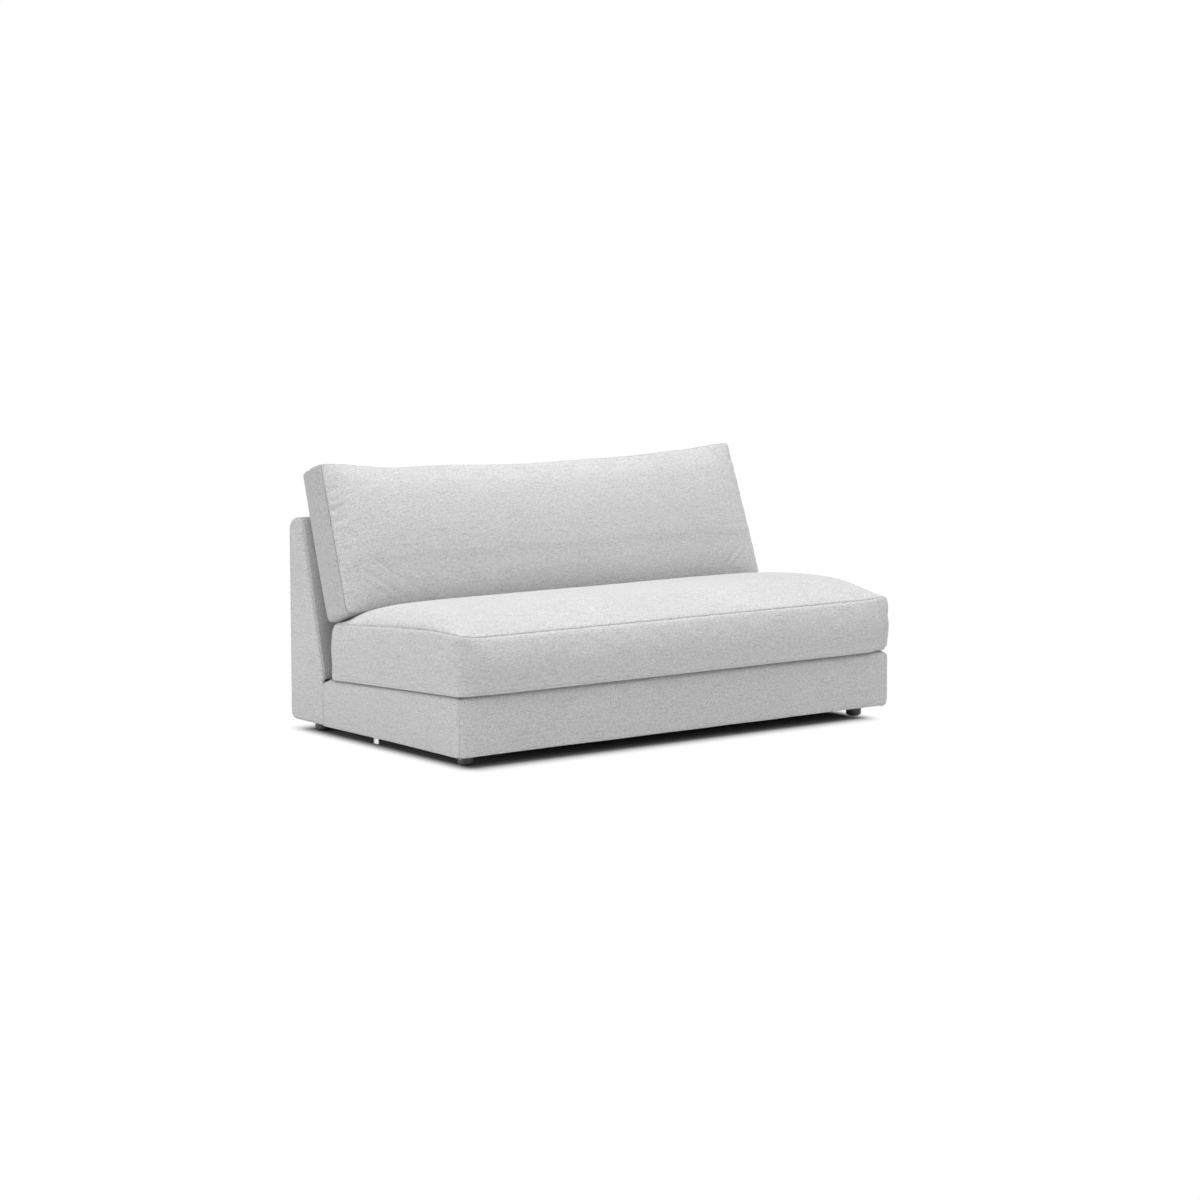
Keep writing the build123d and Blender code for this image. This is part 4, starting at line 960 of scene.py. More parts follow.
# ---- feet ----
def turned(profile, middle, steps=56):
    """Vertices and faces of a closed form turned about an upright axis, from (radius, height) points."""
    points, faces, rings = [], [], []
    for radius, height in profile:
        if radius < 1e-6:
            rings.append([len(points)] * steps)
            points.append((*middle, height))
            continue
        rings.append([len(points) + i for i in range(steps)])
        for i in range(steps):
            angle = math.tau * i / steps
            x, y = middle[0] + radius * math.cos(angle), middle[1] + radius * math.sin(angle)
            points.append((x, y, height))
    for low, high in zip(rings, rings[1:]):
        for i in range(steps):
            loop = [low[i], low[(i + 1) % steps], high[(i + 1) % steps], high[i]]
            faces.append(list(dict.fromkeys(loop)))
    return points, faces


FOOT_RADIUS = 0.0255
FOOT_EDGE = 0.007
FOOT_BORE = 0.00425
FOOT_BORE_DEPTH = 0.024


def feet():
    """Four turned feet, each bored for its hanger bolt."""
    low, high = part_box("feet")
    radius, bottom, top = FOOT_RADIUS, low.z, high.z
    profile = [(0.0, bottom), (0.010, bottom)]
    for degrees in range(0, 91, 15):
        t = math.radians(degrees)
        profile.append((radius - FOOT_EDGE * (1 - math.sin(t)), bottom + FOOT_EDGE * (1 - math.cos(t))))
    profile += [
        (radius, bottom + 0.015), (radius + 0.0002, top - 0.006), (radius, top - 0.0012),
        (radius - 0.0012, top), (FOOT_BORE, top), (FOOT_BORE, top - FOOT_BORE_DEPTH),
        (0.0, top - FOOT_BORE_DEPTH),
    ]
    points, faces = [], []
    for x in (low.x + radius, high.x - radius):
        for y in (low.y + radius, high.y - radius):
            more, extra = turned(profile, (x, y))
            faces += [[v + len(points) for v in face] for face in extra]
            points += more
    place(object_from("turned_feet", points, faces), "frame", foot_stain, ("feet",))


# ---- base unit's covers ----
def arc_rings(radius, count):
    """Points of a quarter round, from the wall over to the flat, as (out, height below the flat)."""
    turns = [QUARTER * i / count for i in range(1, count + 1)]
    return [(-radius * (1 - math.cos(t)), -radius * (1 - math.sin(t))) for t in turns]


BASE_TALL = DECK_HEIGHT - BOTTOM
BASE_FOLD = 0.0032
BASE_RINGS = [(-0.0028, 0.0), (-0.0008, 0.0008), (0.0, BASE_FOLD)]
BASE_RINGS += [(0.0, h + BASE_FOLD) for h in lines(BASE_TALL - BASE_FOLD - BASE_ROUND, 0.012)[1:]]
BASE_RINGS += [(o, BASE_TALL + h) for o, h in arc_rings(BASE_ROUND, 6)]
BASE_HEIGHTS = lengths(BASE_RINGS)


BASE_STEP = 0.02
BASE_STEPS = (0.0014, 0.0035, 0.007, BASE_CORNER, 0.018, HEM_WIDTH)
BASE_REACH = 0.03
AT_JOIN = JOIN - 0.0005


def base_corner(x, y):
    """1 at a front corner of the base."""
    return near(math.hypot(HALF - abs(x), y), 0.010)


def base_point(x, y, k):
    """A point of the base unit's covers; those behind the join are pressed flat onto it."""
    out, z = BASE_RINGS[k]
    last = len(BASE_RINGS) - 1
    depth = JOIN - FRONT + BASE_REACH
    level = z / BASE_TALL
    on_wall = 0 < k < last
    waist = math.sin(math.pi * min(1.0, max(0.0, level)))
    if on_wall:
        wave = 0.0011 * ripple(4.2 * x, 4.2 * y, 3 * z) + 0.0006 * ripple(13 * x, 13 * y, 9 * z + 4)
        out += min(0.0, wave - 0.0006) * waist
        out += 0.0022 * ease(x / HALF) * ease((0.3 - y) / 0.3)
        out -= 0.0012 * near(max(HALF - abs(x), y), 0.0010)
        out -= 0.0030 * base_corner(x, y) * (near(z, 0.012) + near(BASE_TALL - z, 0.014))
        if x < 0 and y > 0.02:
            out -= 0.0016 * waist * near(y - 0.42 + 0.9 * (z - 0.06), 0.020)
            out -= 0.0012 * waist * near(y - 0.24 + 0.6 * (z - 0.06), 0.016)
    px, py = round_plan(x, y, HALF, depth, (BASE_CORNER, 0.0), out)
    drop = z
    if k == last:
        inside = min(HALF - BASE_ROUND - abs(px), py - BASE_ROUND)
        drop += -0.0010 * near(inside - 0.001, 0.0035)
    low = near(z, 0.016)
    drop += 0.0014 * low * ripple(5.2 * x, 5.2 * y, 7.7) + 0.0050 * low * base_corner(x, y)
    drop -= 0.0035 * near(BASE_TALL - z, 0.016) * base_corner(x, y)
    end = ease((y - (JOIN - FRONT) + 0.022) / 0.022) * near(HALF - abs(x), 0.012)
    drop -= 0.0060 * end ** 2 * near(BASE_TALL - z, 0.018)
    height = BOTTOM + drop * (deck_height(FRONT + py) - BOTTOM) / BASE_TALL
    if k == last or z > BASE_TALL - BASE_ROUND:
        height = deck_height(FRONT + py) - (BASE_TALL - drop)
    return Vector((px, min(FRONT + py, JOIN), height))


def cover(form, name, heights, keep, node, where=None):
    """One cover of a unit: a skin of the form's chosen faces, its cloth laid by where if given."""
    obj = piece_from(form, name, heights, keep)
    if where:
        cloth_map(obj, where)
    thicken(obj, SKIN)
    place(obj, "frame", linen, (node,))


def base_covers():
    """The base unit's front band, its sides, each with a hem folded under, and the deck."""
    depth = JOIN - FRONT + BASE_REACH
    across = grid(-HALF, HALF, BASE_STEP, BASE_STEPS)
    deep = [v for v in lines(depth, BASE_STEP, BASE_STEPS) if v < depth - BASE_REACH - 0.001]
    deep += [depth - BASE_REACH, depth]
    form = box_form(across, deep, len(BASE_RINGS) - 1, base_point)
    hem = HALF - HEM_WIDTH

    def on_front(side, centre):
        if side == "tail":
            return centre.y < FRONT + HEM_WIDTH and abs(centre.x) < hem
        return side == "low_second"

    def on_side(sign):
        def keep(side, centre):
            if centre.y > AT_JOIN or side in ("head", "low_second"):
                return False
            if side == "tail":
                return centre.x * sign > hem
            return centre.x * sign > 0 and side != "high_second"
        return keep

    def on_top(side, centre):
        return side == "head" and centre.y < AT_JOIN

    for name, keep, node in (
        ("base_front_skin", on_front, "base_front_cover"),
        ("base_left_skin", on_side(-1), "base_left_cover"),
        ("base_right_skin", on_side(1), "base_right_cover"),
        ("deck_skin", on_top, "deck_cover"),
    ):
        cover(form, name, BASE_HEIGHTS, keep, node)


# ---- back unit's covers ----
SIDE_EASE = 0.012
SIDE_EASE_RINGS = 6
BACK_STEP = 0.022


def back_side(b, c, inset):
    """A point of the back unit's side view, b from front to rear and c from foot to top, both 0 to 1."""
    low, high = BOTTOM + inset, TOP - inset
    z = low + c * (high - low)
    y0 = JOIN if z < DECK_REAR else back_front(z)
    y0 += inset * (2.4 if z >= DECK_REAR else 0.0)
    y1 = REAR - 0.6 * inset
    top_round, foot_round, lip = BACK_ROUND - inset, BACK_FOOT_ROUND - inset, BACK_LIP_ROUND - inset
    over = (z - (high - top_round)) / top_round
    if over > 0:
        y1 -= top_round * (1 - math.sqrt(max(0.0, 1 - over * over)))
    under = ((low + foot_round) - z) / foot_round
    if under > 0:
        y1 -= foot_round * (1 - math.sqrt(max(0.0, 1 - under * under)))
    over = (z - (high - lip)) / lip
    if over > 0:
        y0 += lip * (1 - math.sqrt(max(0.0, 1 - over * over)))
    return y0 + b * (y1 - y0), z


def back_rows():
    """(x, inset) of each ring across the back unit, with the eased seam edges at both ends."""
    edge = []
    for i in range(SIDE_EASE_RINGS):
        t = QUARTER * i / (SIDE_EASE_RINGS - 1)
        edge.append((SIDE_EASE * (1 - math.cos(t)), SIDE_EASE * (1 - math.sin(t))))
    places = lines(2 * HALF - 2 * SIDE_EASE, BACK_STEP, (0.0015, 0.005, 0.012))[1:-1]
    left = [(-HALF + dx, inset) for dx, inset in edge]
    right = [(HALF - dx, inset) for dx, inset in edge][::-1]
    return left + [(v - HALF + SIDE_EASE, 0.0) for v in places] + right


BACK_ROWS = back_rows()


def back_point(b, c, k):
    """A point of the back unit's covers, given as (y, z, x)."""
    x, inset = BACK_ROWS[k]
    last = len(BACK_ROWS) - 1
    y, z = back_side(b, c, inset)
    edge = min(b, 1 - b) * 0.13
    if k in (0, last):
        hollow = max(0.0, 0.0016 - 0.0016 * ripple(6 * y, 5 * z, math.copysign(2, x)))
        x -= math.copysign(hollow * ease(edge / 0.02), x)
    else:
        inward = 0.0005 * near(abs(abs(x) - (HALF - COVER)), 0.0014)
        wave = 0.0012 * (1 + ripple(3.7 * x, 4 * z, 2 * y)) * ease((HALF - 0.02 - abs(x)) / 0.1)
        if b > 1 - 1e-9 and BOTTOM + 0.05 < z < TOP - 0.06:
            y -= inward + wave
        elif b < 1e-9 and z > DECK_REAR + 0.02:
            y += inward
        elif c > 1 - 1e-9:
            z -= inward + 0.5 * wave
    return Vector((y, z, x))


BACK_FOOT_STEPS = (0, 0.0012, 0.004, 0.009, 0.016, 0.024)
BACK_HEAD_STEPS = (0.058, 0.050, 0.042, 0.034, 0.027, 0.020, 0.014, 0.009, 0.005, 0.002, 0.0005, 0)
BACK_ROW_COUNT = 26


def back_covers():
    """The back unit's ends, its leaning inside, and its outside with the top strip and the hem."""
    deep = lines(1.0, 0.09, (0.03,))
    tall = TOP - BOTTOM
    foot = [v / tall for v in BACK_FOOT_STEPS]
    head = [1 - v / tall for v in BACK_HEAD_STEPS]
    middle = [foot[-1] + (head[0] - foot[-1]) * i / BACK_ROW_COUNT for i in range(1, BACK_ROW_COUNT)]
    deck = (DECK_REAR - BOTTOM) / tall
    nearest = min(range(len(middle)), key=lambda i: abs(middle[i] - deck))
    middle[nearest] = deck + AT_EDGE
    form = box_form(deep, foot + middle + head, len(BACK_ROWS) - 1, back_point)
    form["points"] = [Vector((p.z, p.x, p.y)) for p in form["points"]]
    widths = [x for x, _ in BACK_ROWS]
    seam = HALF - COVER

    def on_end(sign):
        def keep(side, centre):
            if side == ("head" if sign > 0 else "tail"):
                return True
            return centre.x * sign > seam and side not in ("head", "tail")
        return keep

    def inside(side, centre):
        return side == "low_first" and abs(centre.x) < seam and centre.z > DECK_REAR

    def outside(side, centre):
        if side in ("head", "tail", "low_first") or abs(centre.x) > seam:
            return False
        if side == "low_second":
            return centre.y > REAR - HEM_WIDTH - 0.02
        return True

    for name, keep, node, where in (
        ("back_left_skin", on_end(-1), "back_left_cover", lambda p: (p.y, p.z)),
        ("back_right_skin", on_end(1), "back_right_cover", lambda p: (p.y + 3.1, p.z)),
        ("back_inside_skin", inside, "back_inside_cover", lambda p: (p.x, p.z * 1.03)),
        ("back_outside_skin", outside, "back_outside_cover", lambda p: (p.x, p.z - p.y + REAR)),
    ):
        cover(form, name, widths, keep, node, where)


# ---- padding, springs, webbing and dust covers ----
def geometry_group(name, inputs):
    """A geometry node group from one geometry and these inputs to one geometry."""
    tree = bpy.data.node_groups.new(name, "GeometryNodeTree")
    for label, kind in [("Geometry", "NodeSocketGeometry"), *inputs]:
        tree.interface.new_socket(name=label, in_out="INPUT", socket_type=kind)
    tree.interface.new_socket(name="Made", in_out="OUTPUT", socket_type="NodeSocketGeometry")
    return tree, tree.nodes.new("NodeGroupInput").outputs, tree.nodes.new("NodeGroupOutput").inputs


def copies_at_points():
    """Real copies of an item on the points of a mesh, each turned by the point's own turn."""
    tree, given, out = geometry_group("Copies at points", [
        ("Item", "NodeSocketObject"), ("Finish", "NodeSocketMaterial"),
    ])
    item = add(tree, "GeometryNodeObjectInfo", {"Object": given["Item"]}, transform_space="ORIGINAL")
    turn = add(tree, "GeometryNodeInputNamedAttribute", {"Name": "turn"}, data_type="FLOAT_VECTOR")
    rotation = add(tree, "FunctionNodeEulerToRotation", {"Euler": turn.outputs["Attribute"]})
    placed = add(tree, "GeometryNodeInstanceOnPoints", {
        "Points": given["Geometry"], "Instance": item.outputs["Geometry"], "Rotation": rotation.outputs[0],
    })
    real = add(tree, "GeometryNodeRealizeInstances", {"Geometry": placed.outputs[0]})
    done = add(tree, "GeometryNodeSetMaterial", {"Geometry": real.outputs[0], "Material": given["Finish"]})
    tree.links.new(done.outputs[0], out[0])
    return tree


def wire_on_path():
    """A round wire along a path of edges, bent round at its corners."""
    tree, given, out = geometry_group("Wire on a path", [("Radius", FLOAT), ("Bend", FLOAT)])
    path = add(tree, "GeometryNodeMeshToCurve", {"Mesh": given["Geometry"]})
    bent = add(tree, "GeometryNodeFilletCurve", {"Curve": path.outputs[0], "Radius": given["Bend"]})
    if "Mode" in bent.inputs:
        bent.inputs["Mode"].default_value = "Poly"
    else:
        bent.mode = "POLY"
    bent.inputs["Count"].default_value = 6
    ring = add(tree, "GeometryNodeCurvePrimitiveCircle", {"Resolution": 10, "Radius": given["Radius"]})
    wire = add(tree, "GeometryNodeCurveToMesh", {
        "Curve": bent.outputs[0], "Profile Curve": ring.outputs[0], "Fill Caps": True,
    })
    tree.links.new(wire.outputs[0], out[0])
    return tree


def grown(obj, group, **values):
    """Turns an object into what a geometry group makes of it."""
    modifier = obj.modifiers.new(group.name, "NODES")
    modifier.node_group = group
    for label, value in values.items():
        modifier[group.interface.items_tree[label].identifier] = value
    return apply_modifiers(obj)


COPIES, WIRE = copies_at_points(), wire_on_path()


def copies(name, item, places, material):
    """An object of copies of an item at (place, turn) pairs; the item goes."""
    obj = object_from(name, [spot for spot, _ in places], [])
    turns = obj.data.attributes.new("turn", "FLOAT_VECTOR", "POINT")
    for mark, (_, turn) in zip(turns.data, places):
        mark.vector = turn
    grown(obj, COPIES, Item=item, Finish=material)
    bpy.data.objects.remove(item)
    return obj


def in_a_row(first, step, count):
    """Places along X for copies, unturned."""
    return [((first + step * i, 0.0, 0.0), (0.0, 0.0, 0.0)) for i in range(count)]


def wire(points, radius, bend):
    """An item of round wire through these points."""
    item = object_from("item", points, [], [(i, i + 1) for i in range(len(points) - 1)])
    return grown(item, WIRE, Radius=radius, Bend=bend)


def lens(length, radius, steps=6):
    """An item: a small rod with pointed ends, along Z."""
    reach = 0.36 * length
    profile = [(0.0, -length / 2), (radius, -reach), (radius, reach), (0.0, length / 2)]
    return object_from("item", *turned(profile, (0, 0), steps))


def slab(name, first, second, section, spot):
    """A closed slab: section gives (inset, share through the slab); spot places (a, b, share)."""
    def point(a, b, k):
        inset, share = section[k]
        a = min(max(a, first[0] + inset), first[-1] - inset)
        b = min(max(b, second[0] + inset), second[-1] - inset)
        return spot(a, b, share)
    form = box_form(first, second, len(section) - 1, point)
    return piece_from(form, name, lengths(section))


PAD_SECTION = [(0.003, 0.0), (0.0008, 0.12), (0.0, 0.5), (0.0008, 0.88), (0.003, 1.0)]
SHEET_SECTION = [(0.0, 0.0), (0.0, 1.0)]
PAD_HALF = 0.862
DECK_PAD_FRONT, DECK_PAD_REAR = 0.0085, 0.7705
DECK_PAD_UNDER, DECK_PAD_THICK = -0.028, 0.0198
INSULATOR_UNDER, INSULATOR_THICK = -0.030, 0.0016
BACK_PAD_LOW, STRAP_LOW, TOP_RAIL = 0.1880, 0.2581, 0.6868
BACK_PAD_FRONT, BACK_PAD_THICK = 0.0083, 0.0161
STRAP_FRONT, STRAP_THICK, STRAP_HALF = 0.0249, 0.0017, 0.030


def pads():
    """The deck pad with the insulator cloth under it, and the back pad."""
    across = grid(-PAD_HALF, PAD_HALF, 0.035)
    deep = grid(DECK_PAD_FRONT, DECK_PAD_REAR, 0.030)

    def in_deck(x, y, share):
        dimple = 0.0010 * (1 + ripple(7 * x, 7 * y, 0.5)) * share
        return on_deck(x, y, DECK_PAD_UNDER + DECK_PAD_THICK * share - dimple * share)

    def under_pad(x, y, share):
        sag = 0.0008 * (1 + ripple(6 * x, 3 * y, 2.5))
        return on_deck(x, y, INSULATOR_UNDER + INSULATOR_THICK * share + 0.0002 - 0.2 * sag)

    def in_back(x, z, share):
        wave = 0.0010 * (1 + ripple(6 * x, 6 * z, 8.5)) * (1 - share)
        return Vector((x, back_front(z) + BACK_PAD_FRONT + BACK_PAD_THICK * share + wave, z))

    obj = slab("deck_padding", across, deep, PAD_SECTION, in_deck)
    place(obj, "frame", foam, ("deck_pad",))
    obj = slab("deck_insulator_cloth", across, deep, SHEET_SECTION, under_pad)
    place(obj, "frame", felt, ("deck_insulator",))
    obj = slab("back_padding", across, grid(BACK_PAD_LOW, TOP_RAIL, 0.025), PAD_SECTION, in_back)
    place(obj, "frame", foam, ("back_pad",))


def webbing():
    """Seven elastic straps, drawn in a little between the rails."""
    def strap(x, z, share):
        between = math.sin(math.pi * (z - STRAP_LOW) / (TOP_RAIL - STRAP_LOW))
        y = back_front(z) + STRAP_FRONT + STRAP_THICK * share + 0.0016 * between
        return Vector((x * (1 - 0.05 * between), y, z))

    item = slab(
        "item", grid(-STRAP_HALF, STRAP_HALF, 0.010), grid(STRAP_LOW, TOP_RAIL, 0.02), SHEET_SECTION, strap,
    )
    obj = copies("back_webbing_straps", item, in_a_row(-0.675, 0.225, 7), elastic)
    place(obj, "frame", elastic, ("back_webbing",))


SPRING_START = 0.022
SPRING_LOOP = 0.088
SPRING_LEAD = 0.020
SPRING_SWING = 0.025
SPRING_LEVEL = -0.0335
SPRING_ARC = 0.0012


def springs():
    """Nine zigzag springs of round wire, front rail to rear rail."""
    start, end = SPRING_START, (JOIN - FRONT - 0.007) / math.cos(PITCH)
    loops = int((end - start - SPRING_LEAD) // SPRING_LOOP)
    lead = (end - start - loops * SPRING_LOOP) / 2
    path = [(0.0, start), (0.0, start + lead)]
    for i in range(loops):
        y = start + lead + SPRING_LOOP * i
        path += [(SPRING_SWING, y + 0.0141), (SPRING_SWING, y + 0.0299)]
        path += [(-SPRING_SWING, y + 0.0581), (-SPRING_SWING, y + 0.0739)]
    path += [(0.0, end - lead), (0.0, end)]
    middle = (start + end) / 2
    points = []
    for i, (x, y) in enumerate(path):
        arc = SPRING_ARC * (1 - abs(y - middle) / (end - middle)) * (1 if i % 2 else 0.6)
        points.append(on_deck(x, y, SPRING_LEVEL + arc))
    obj = copies("seat_springs_zigzag", wire(points, 0.002, 0.010), in_a_row(-0.712, 0.178, 9), spring_steel)
    place(obj, "frame", spring_steel, ("seat_springs",))


STAPLE_HALF = 0.0105 / 2
STAPLE_LEG = 0.004
STAPLE_STEP = 0.046
STAPLE_INSET = 0.006


def dust_cover(name, node, holes):
    """Black cloth stapled under a unit, hanging slack between staples.

    Each hole, round a foot or a connector, is cut on both sides: (from, to) along |x| and along y.
    """
    low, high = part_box(node)
    marks = [v for hole in holes for v in hole]
    xs = sorted({round(v, 5) for v in grid(low.x, high.x, 0.0285) + [v for m in marks[0::2] for v in m]})
    ys = sorted({round(v, 5) for v in grid(low.y, high.y, 0.0247) + [v for m in marks[1::2] for v in m]})
    points, index, faces = [], {}, []

    def vertex(x, y):
        if (x, y) not in index:
            edge = min(x - low.x, high.x - x, y - low.y, high.y - y)
            slack = 0.0030 * ease(edge / 0.10)
            slack += 0.0009 * ease(edge / 0.02) * (1 + ripple(19 * x, 19 * y, 5.5))
            index[x, y] = len(points)
            points.append((x, y, low.z - slack))
        return index[x, y]

    for a, b in zip(xs, xs[1:]):
        for c, d in zip(ys, ys[1:]):
            x, y = (a + b) / 2, (c + d) / 2
            if not any(u[0] < abs(x) < u[1] and v[0] < y < v[1] for u, v in holes):
                faces.append([vertex(a, c), vertex(a, d), vertex(b, d), vertex(b, c)])
    obj = object_from(name, points, faces)
    thicken(obj, 0.0010)
    place(obj, "frame", dust_cloth, (node,))

    spots = []
    level = low.z - 0.0001
    for x in grid(low.x + 0.012, high.x - 0.012, STAPLE_STEP):
        for y in (low.y + STAPLE_INSET, high.y - STAPLE_INSET):
            spots.append(((x, y, level), (0.0, 0.0, 0.12 * ripple(40 * x, y, 1.5))))
    for y in grid(low.y + 0.030, high.y - 0.030, STAPLE_STEP):
        for x in (low.x + STAPLE_INSET, high.x - STAPLE_INSET):
            if not any(u[1] > abs(x) > u[0] - 0.004 and v[0] - 0.008 < y < v[1] + 0.008 for u, v in holes):
                spots.append(((x, y, level), (0.0, 0.0, QUARTER + 0.12 * ripple(40 * y, x, 1.5))))
    corners = ((-STAPLE_HALF, STAPLE_LEG), (-STAPLE_HALF, 0.0), (STAPLE_HALF, 0.0), (STAPLE_HALF, STAPLE_LEG))
    item = wire([(x, 0.0, z) for x, z in corners], 0.00045, 0.0006)
    place(copies(name + "_staples", item, spots, zinc), "frame", zinc)


COIL_STEP = 0.00125
COIL_SIDE = 0.0006
STITCH_STEP = 0.0034
STITCH_ROW = 0.0098


def zip_details(name, node, body, tilt, half):
    """The coil of a zip, and the two rows of stitches that hold its tape."""
    out = Vector((0, math.cos(tilt), -math.sin(tilt)))
    up = Vector((0, math.sin(tilt), math.cos(tilt)))
    corners = [v.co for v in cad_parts[node].data.vertices]
    levels = sorted({round(c.dot(out), 4) for c in corners})
    heights = [c.dot(up) for c in corners]
    middle = up * (min(heights) + max(heights)) / 2
    spots = []
    for i in range(int(2 * half / COIL_STEP)):
        spot = middle + out * (levels[-1] - 0.0002) + up * (COIL_SIDE if i % 2 else -COIL_SIDE)
        spots.append(((-half + 0.0006 + COIL_STEP * i, spot.y, spot.z), (-tilt, 0.0, 0.0)))
    coil = copies(name + "_coil", lens(0.0036, 0.00042), spots, zip_cloth)
    place(coil, body, zip_cloth)
    spots = []
    for row in (-STITCH_ROW, STITCH_ROW):
        spot = middle + out * (levels[-2] + 0.00005) + up * row
        for i in range(int(2 * half / STITCH_STEP)):
            spots.append(((-half + 0.002 + STITCH_STEP * i, spot.y, spot.z), (0.0, QUARTER, 0.0)))
    rows = copies(name + "_stitches", lens(0.0027, 0.00027, 5), spots, thread)
    place(rows, body, thread)


FOOT_SIDES = (0.762, 0.820)


def insides():
    """All that the covers hide."""
    springs()
    pads()
    webbing()
    dust_cover("base_dust_cloth", "base_dust_cover", [
        (FOOT_SIDES, (-0.4267, -0.3687)), ((0.807, 0.870), (-0.0267, 0.0043)),
    ])
    dust_cover("back_dust_cloth", "back_dust_cover", [
        (FOOT_SIDES, (0.3913, 0.4493)),
    ])
    zip_details("seat_zip", "seat_zip_tape", "seat_cushion", PITCH, SEAT_ZIP_HALF)
    zip_details("back_zip", "cushion_zip_tape", "back_cushion", CUSHION_TILT, CUSHION_ZIP_HALF)


# ---- floor, light and camera ----
SKY_AHEAD = 0.295
SKY_ABOVE = 2.05
FLOOR_HALF = 14.0
# the floor's tone for the light it throws back, and the darker tone the camera sees: a painted shade near the
# sofa over its real shadow
FLOOR_LIT, FLOOR_SEEN_PAINTED_DARK = 0.75, 0.42
# the seen floor's painted shadow: its shift to the left, its ends inside the sofa's, its narrowing and its
# fade
SHADE_SHIFT, SHADE_SIDES, SHADE_ENDS = 0.022, 0.095, 0.03
SHADE_NARROW, SHADE_FADE = 1.25, 0.11
LAMPS = (
    ("high_softbox", (0.0, -0.3, 4.2), 1.8, 88.0),
    ("left_rear_softbox", (-4.4, 2.6, 1.8), 2.6, 22.0),
    ("low_left_softbox", (-4.5, 0.8, 0.5), 1.6, 33.0),
)
LAMP_AIM = Vector((0, 0, 0.35))
CAMERA_LENS, CAMERA_FILM = 88.33, 36.0
CAMERA_YAW, CAMERA_DOWN = math.radians(37.23), math.radians(6.86)
WHITE = (1, 1, 1, 1)


def seen_rays(tree):
    """1 for rays that the camera sees, straight or by way of gloss or glass; 0 for those that light."""
    path = tree.nodes.new("ShaderNodeLightPath").outputs
    seen = sums(tree, "MAXIMUM", path["Is Camera Ray"], path["Is Glossy Ray"])
    return sums(tree, "MAXIMUM", seen, path["Is Transmission Ray"])


def past(tree, value):
    """The square of a value above 0."""
    return sums(tree, "POWER", sums(tree, "MAXIMUM", value, 0.0), 2.0)


def studio_floor():
    """A pale floor: seen, it shows its real shadow, darkened further into a painted shadow round the sofa,
    and fades to white further out; unseen, it only throws light back.
    """
    corners = [(FLOOR_HALF * x, FLOOR_HALF * y, 0) for x, y in ((-1, -1), (1, -1), (1, 1), (-1, 1))]
    floor = object_from("studio_floor", corners, [(0, 1, 2, 3)])
    material = bpy.data.materials.new("Studio floor")
    material.use_nodes = True
    tree = material.node_tree
    tree.nodes.clear()
    seen = seen_rays(tree)
    at = split(tree, add(tree, "ShaderNodeTexCoord").outputs["Object"])
    middle = (FRONT + REAR) / 2
    beside = sums(tree, "ABSOLUTE", sums(tree, "ADD", at["X"], SHADE_SHIFT))
    beside = sums(tree, "SUBTRACT", beside, HALF - SHADE_SIDES)
    beside = sums(tree, "MULTIPLY", beside, SHADE_NARROW)
    ahead = sums(tree, "ABSOLUTE", sums(tree, "SUBTRACT", at["Y"], middle))
    ahead = sums(tree, "SUBTRACT", ahead, REAR - middle - SHADE_ENDS)
    away = sums(tree, "SQRT", sums(tree, "ADD", past(tree, beside), past(tree, ahead)))
    out_of_painted_shadow = span(tree, away, 0.0, SHADE_FADE, 0.0, 1.0, interpolation_type="SMOOTHSTEP")
    white = add(tree, "ShaderNodeEmission", {"Color": WHITE, "Strength": 1.0}).outputs[0]
    # painted shade: near the sofa the camera sees the floor darker than it lights, on top of the real shadow,
    # fading to white further out
    tone = blend(tree, seen, grey(FLOOR_LIT), grey(FLOOR_SEEN_PAINTED_DARK))
    matt = add(tree, "ShaderNodeBsdfDiffuse", {"Color": tone}).outputs[0]
    add_white = sums(tree, "MULTIPLY", seen, out_of_painted_shadow)
    mixed = add(tree, "ShaderNodeMixShader", {0: add_white, 1: matt, 2: white}).outputs[0]
    add(tree, "ShaderNodeOutputMaterial", {"Surface": mixed})
    floor.data.materials.append(material)


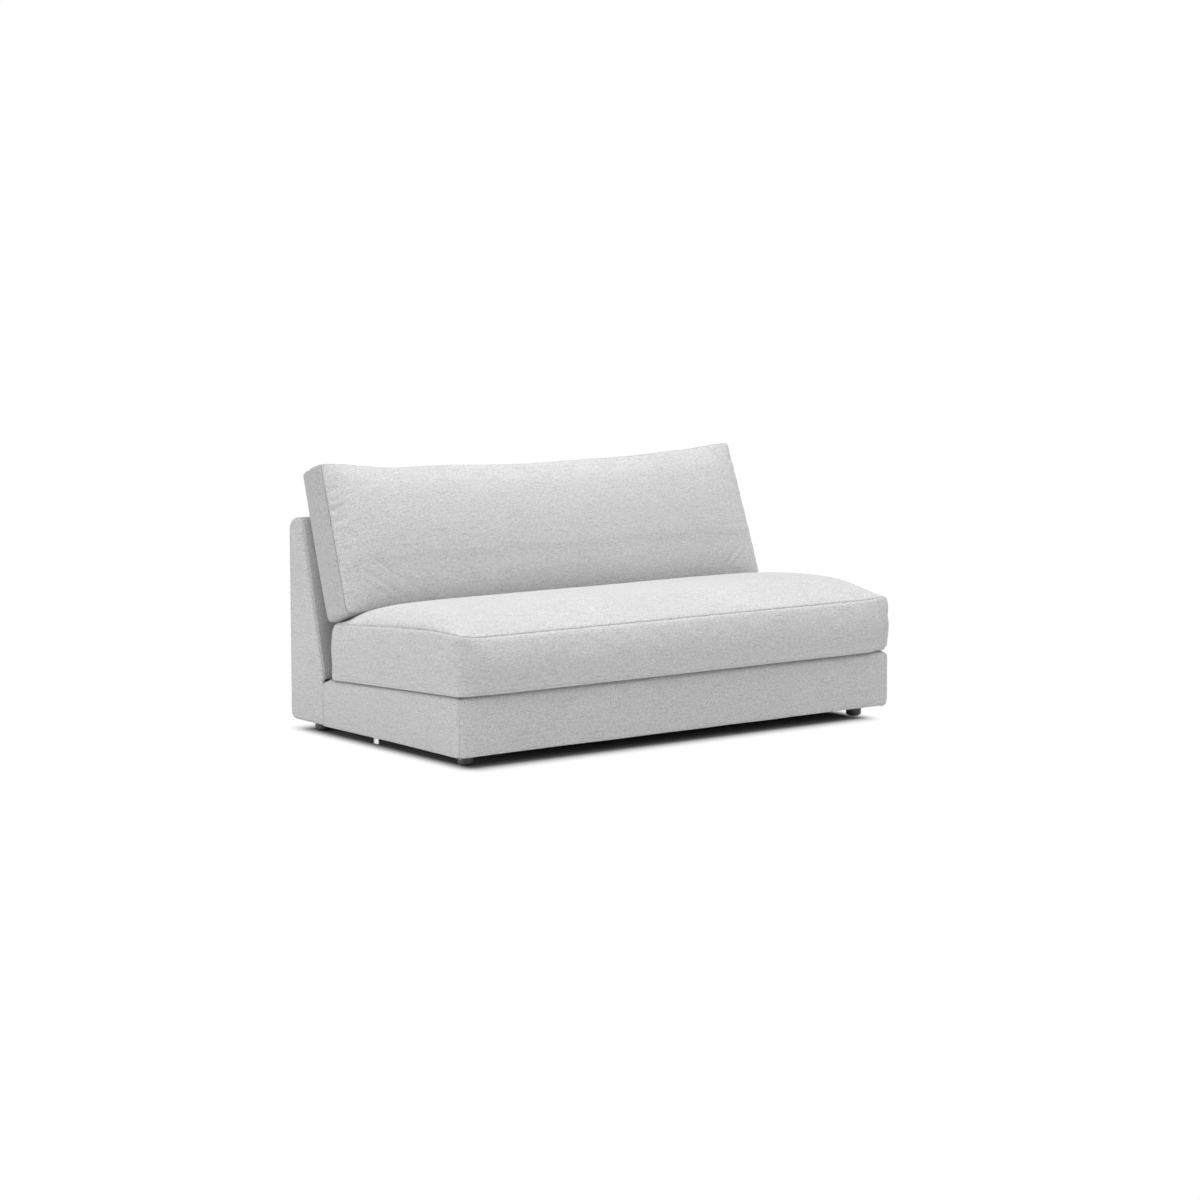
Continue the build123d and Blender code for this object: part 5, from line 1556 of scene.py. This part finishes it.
def sky():
    """Light from all round: strongest from above and in front. The camera sees it as white."""
    world = bpy.data.worlds.new("Studio")
    bpy.context.scene.world = world
    world.use_nodes = True
    tree = world.node_tree
    tree.nodes.clear()
    seen = seen_rays(tree)
    way = split(tree, add(tree, "ShaderNodeTexCoord").outputs["Generated"])
    ahead = span(tree, way["Y"], -0.3, 0.9, SKY_AHEAD, 0.28 * SKY_AHEAD)
    lean = span(tree, way["Y"], -0.5, 0.8, SKY_ABOVE, 0.55 * SKY_ABOVE)
    above = sums(tree, "POWER", sums(tree, "MAXIMUM", way["Z"], 0.0), 1.5)
    strength = sums(tree, "ADD", ahead, sums(tree, "MULTIPLY", above, lean))
    fill = add(tree, "ShaderNodeBackground", {"Color": WHITE, "Strength": strength}).outputs[0]
    backdrop = add(tree, "ShaderNodeBackground", {"Color": WHITE, "Strength": 1.0}).outputs[0]
    mixed = add(tree, "ShaderNodeMixShader", {0: seen, 1: fill, 2: backdrop}).outputs[0]
    add(tree, "ShaderNodeOutputWorld", {"Surface": mixed})


def studio():
    """The floor, the sky, three softboxes and the camera."""
    scene = bpy.context.scene
    scene.view_settings.view_transform = "Standard"
    studio_floor()
    sky()
    for name, spot, wide, power in LAMPS:
        data = bpy.data.lights.new(name, "AREA")
        data.shape = "SQUARE"
        data.size = wide
        data.energy = power
        lamp = bpy.data.objects.new(name, data)
        lamp.location = spot
        lamp.rotation_euler = (LAMP_AIM - Vector(spot)).to_track_quat("-Z", "Y").to_euler()
        scene.collection.objects.link(lamp)

    data = bpy.data.cameras.new("camera")
    data.lens = CAMERA_LENS
    data.sensor_width = CAMERA_FILM
    camera = bpy.data.objects.new("camera", data)
    width = 2 * HALF
    camera.location = (-2.8373 * width - HALF, -4.1347 * width + FRONT, 0.9004 * width)
    level = math.cos(CAMERA_DOWN)
    way = Vector((math.sin(CAMERA_YAW) * level, math.cos(CAMERA_YAW) * level, -math.sin(CAMERA_DOWN)))
    camera.rotation_euler = way.to_track_quat("-Z", "Y").to_euler()
    scene.collection.objects.link(camera)
    scene.camera = camera


studio()
feet()
seat_cushion()
back_cushion()
base_covers()
back_covers()
insides()
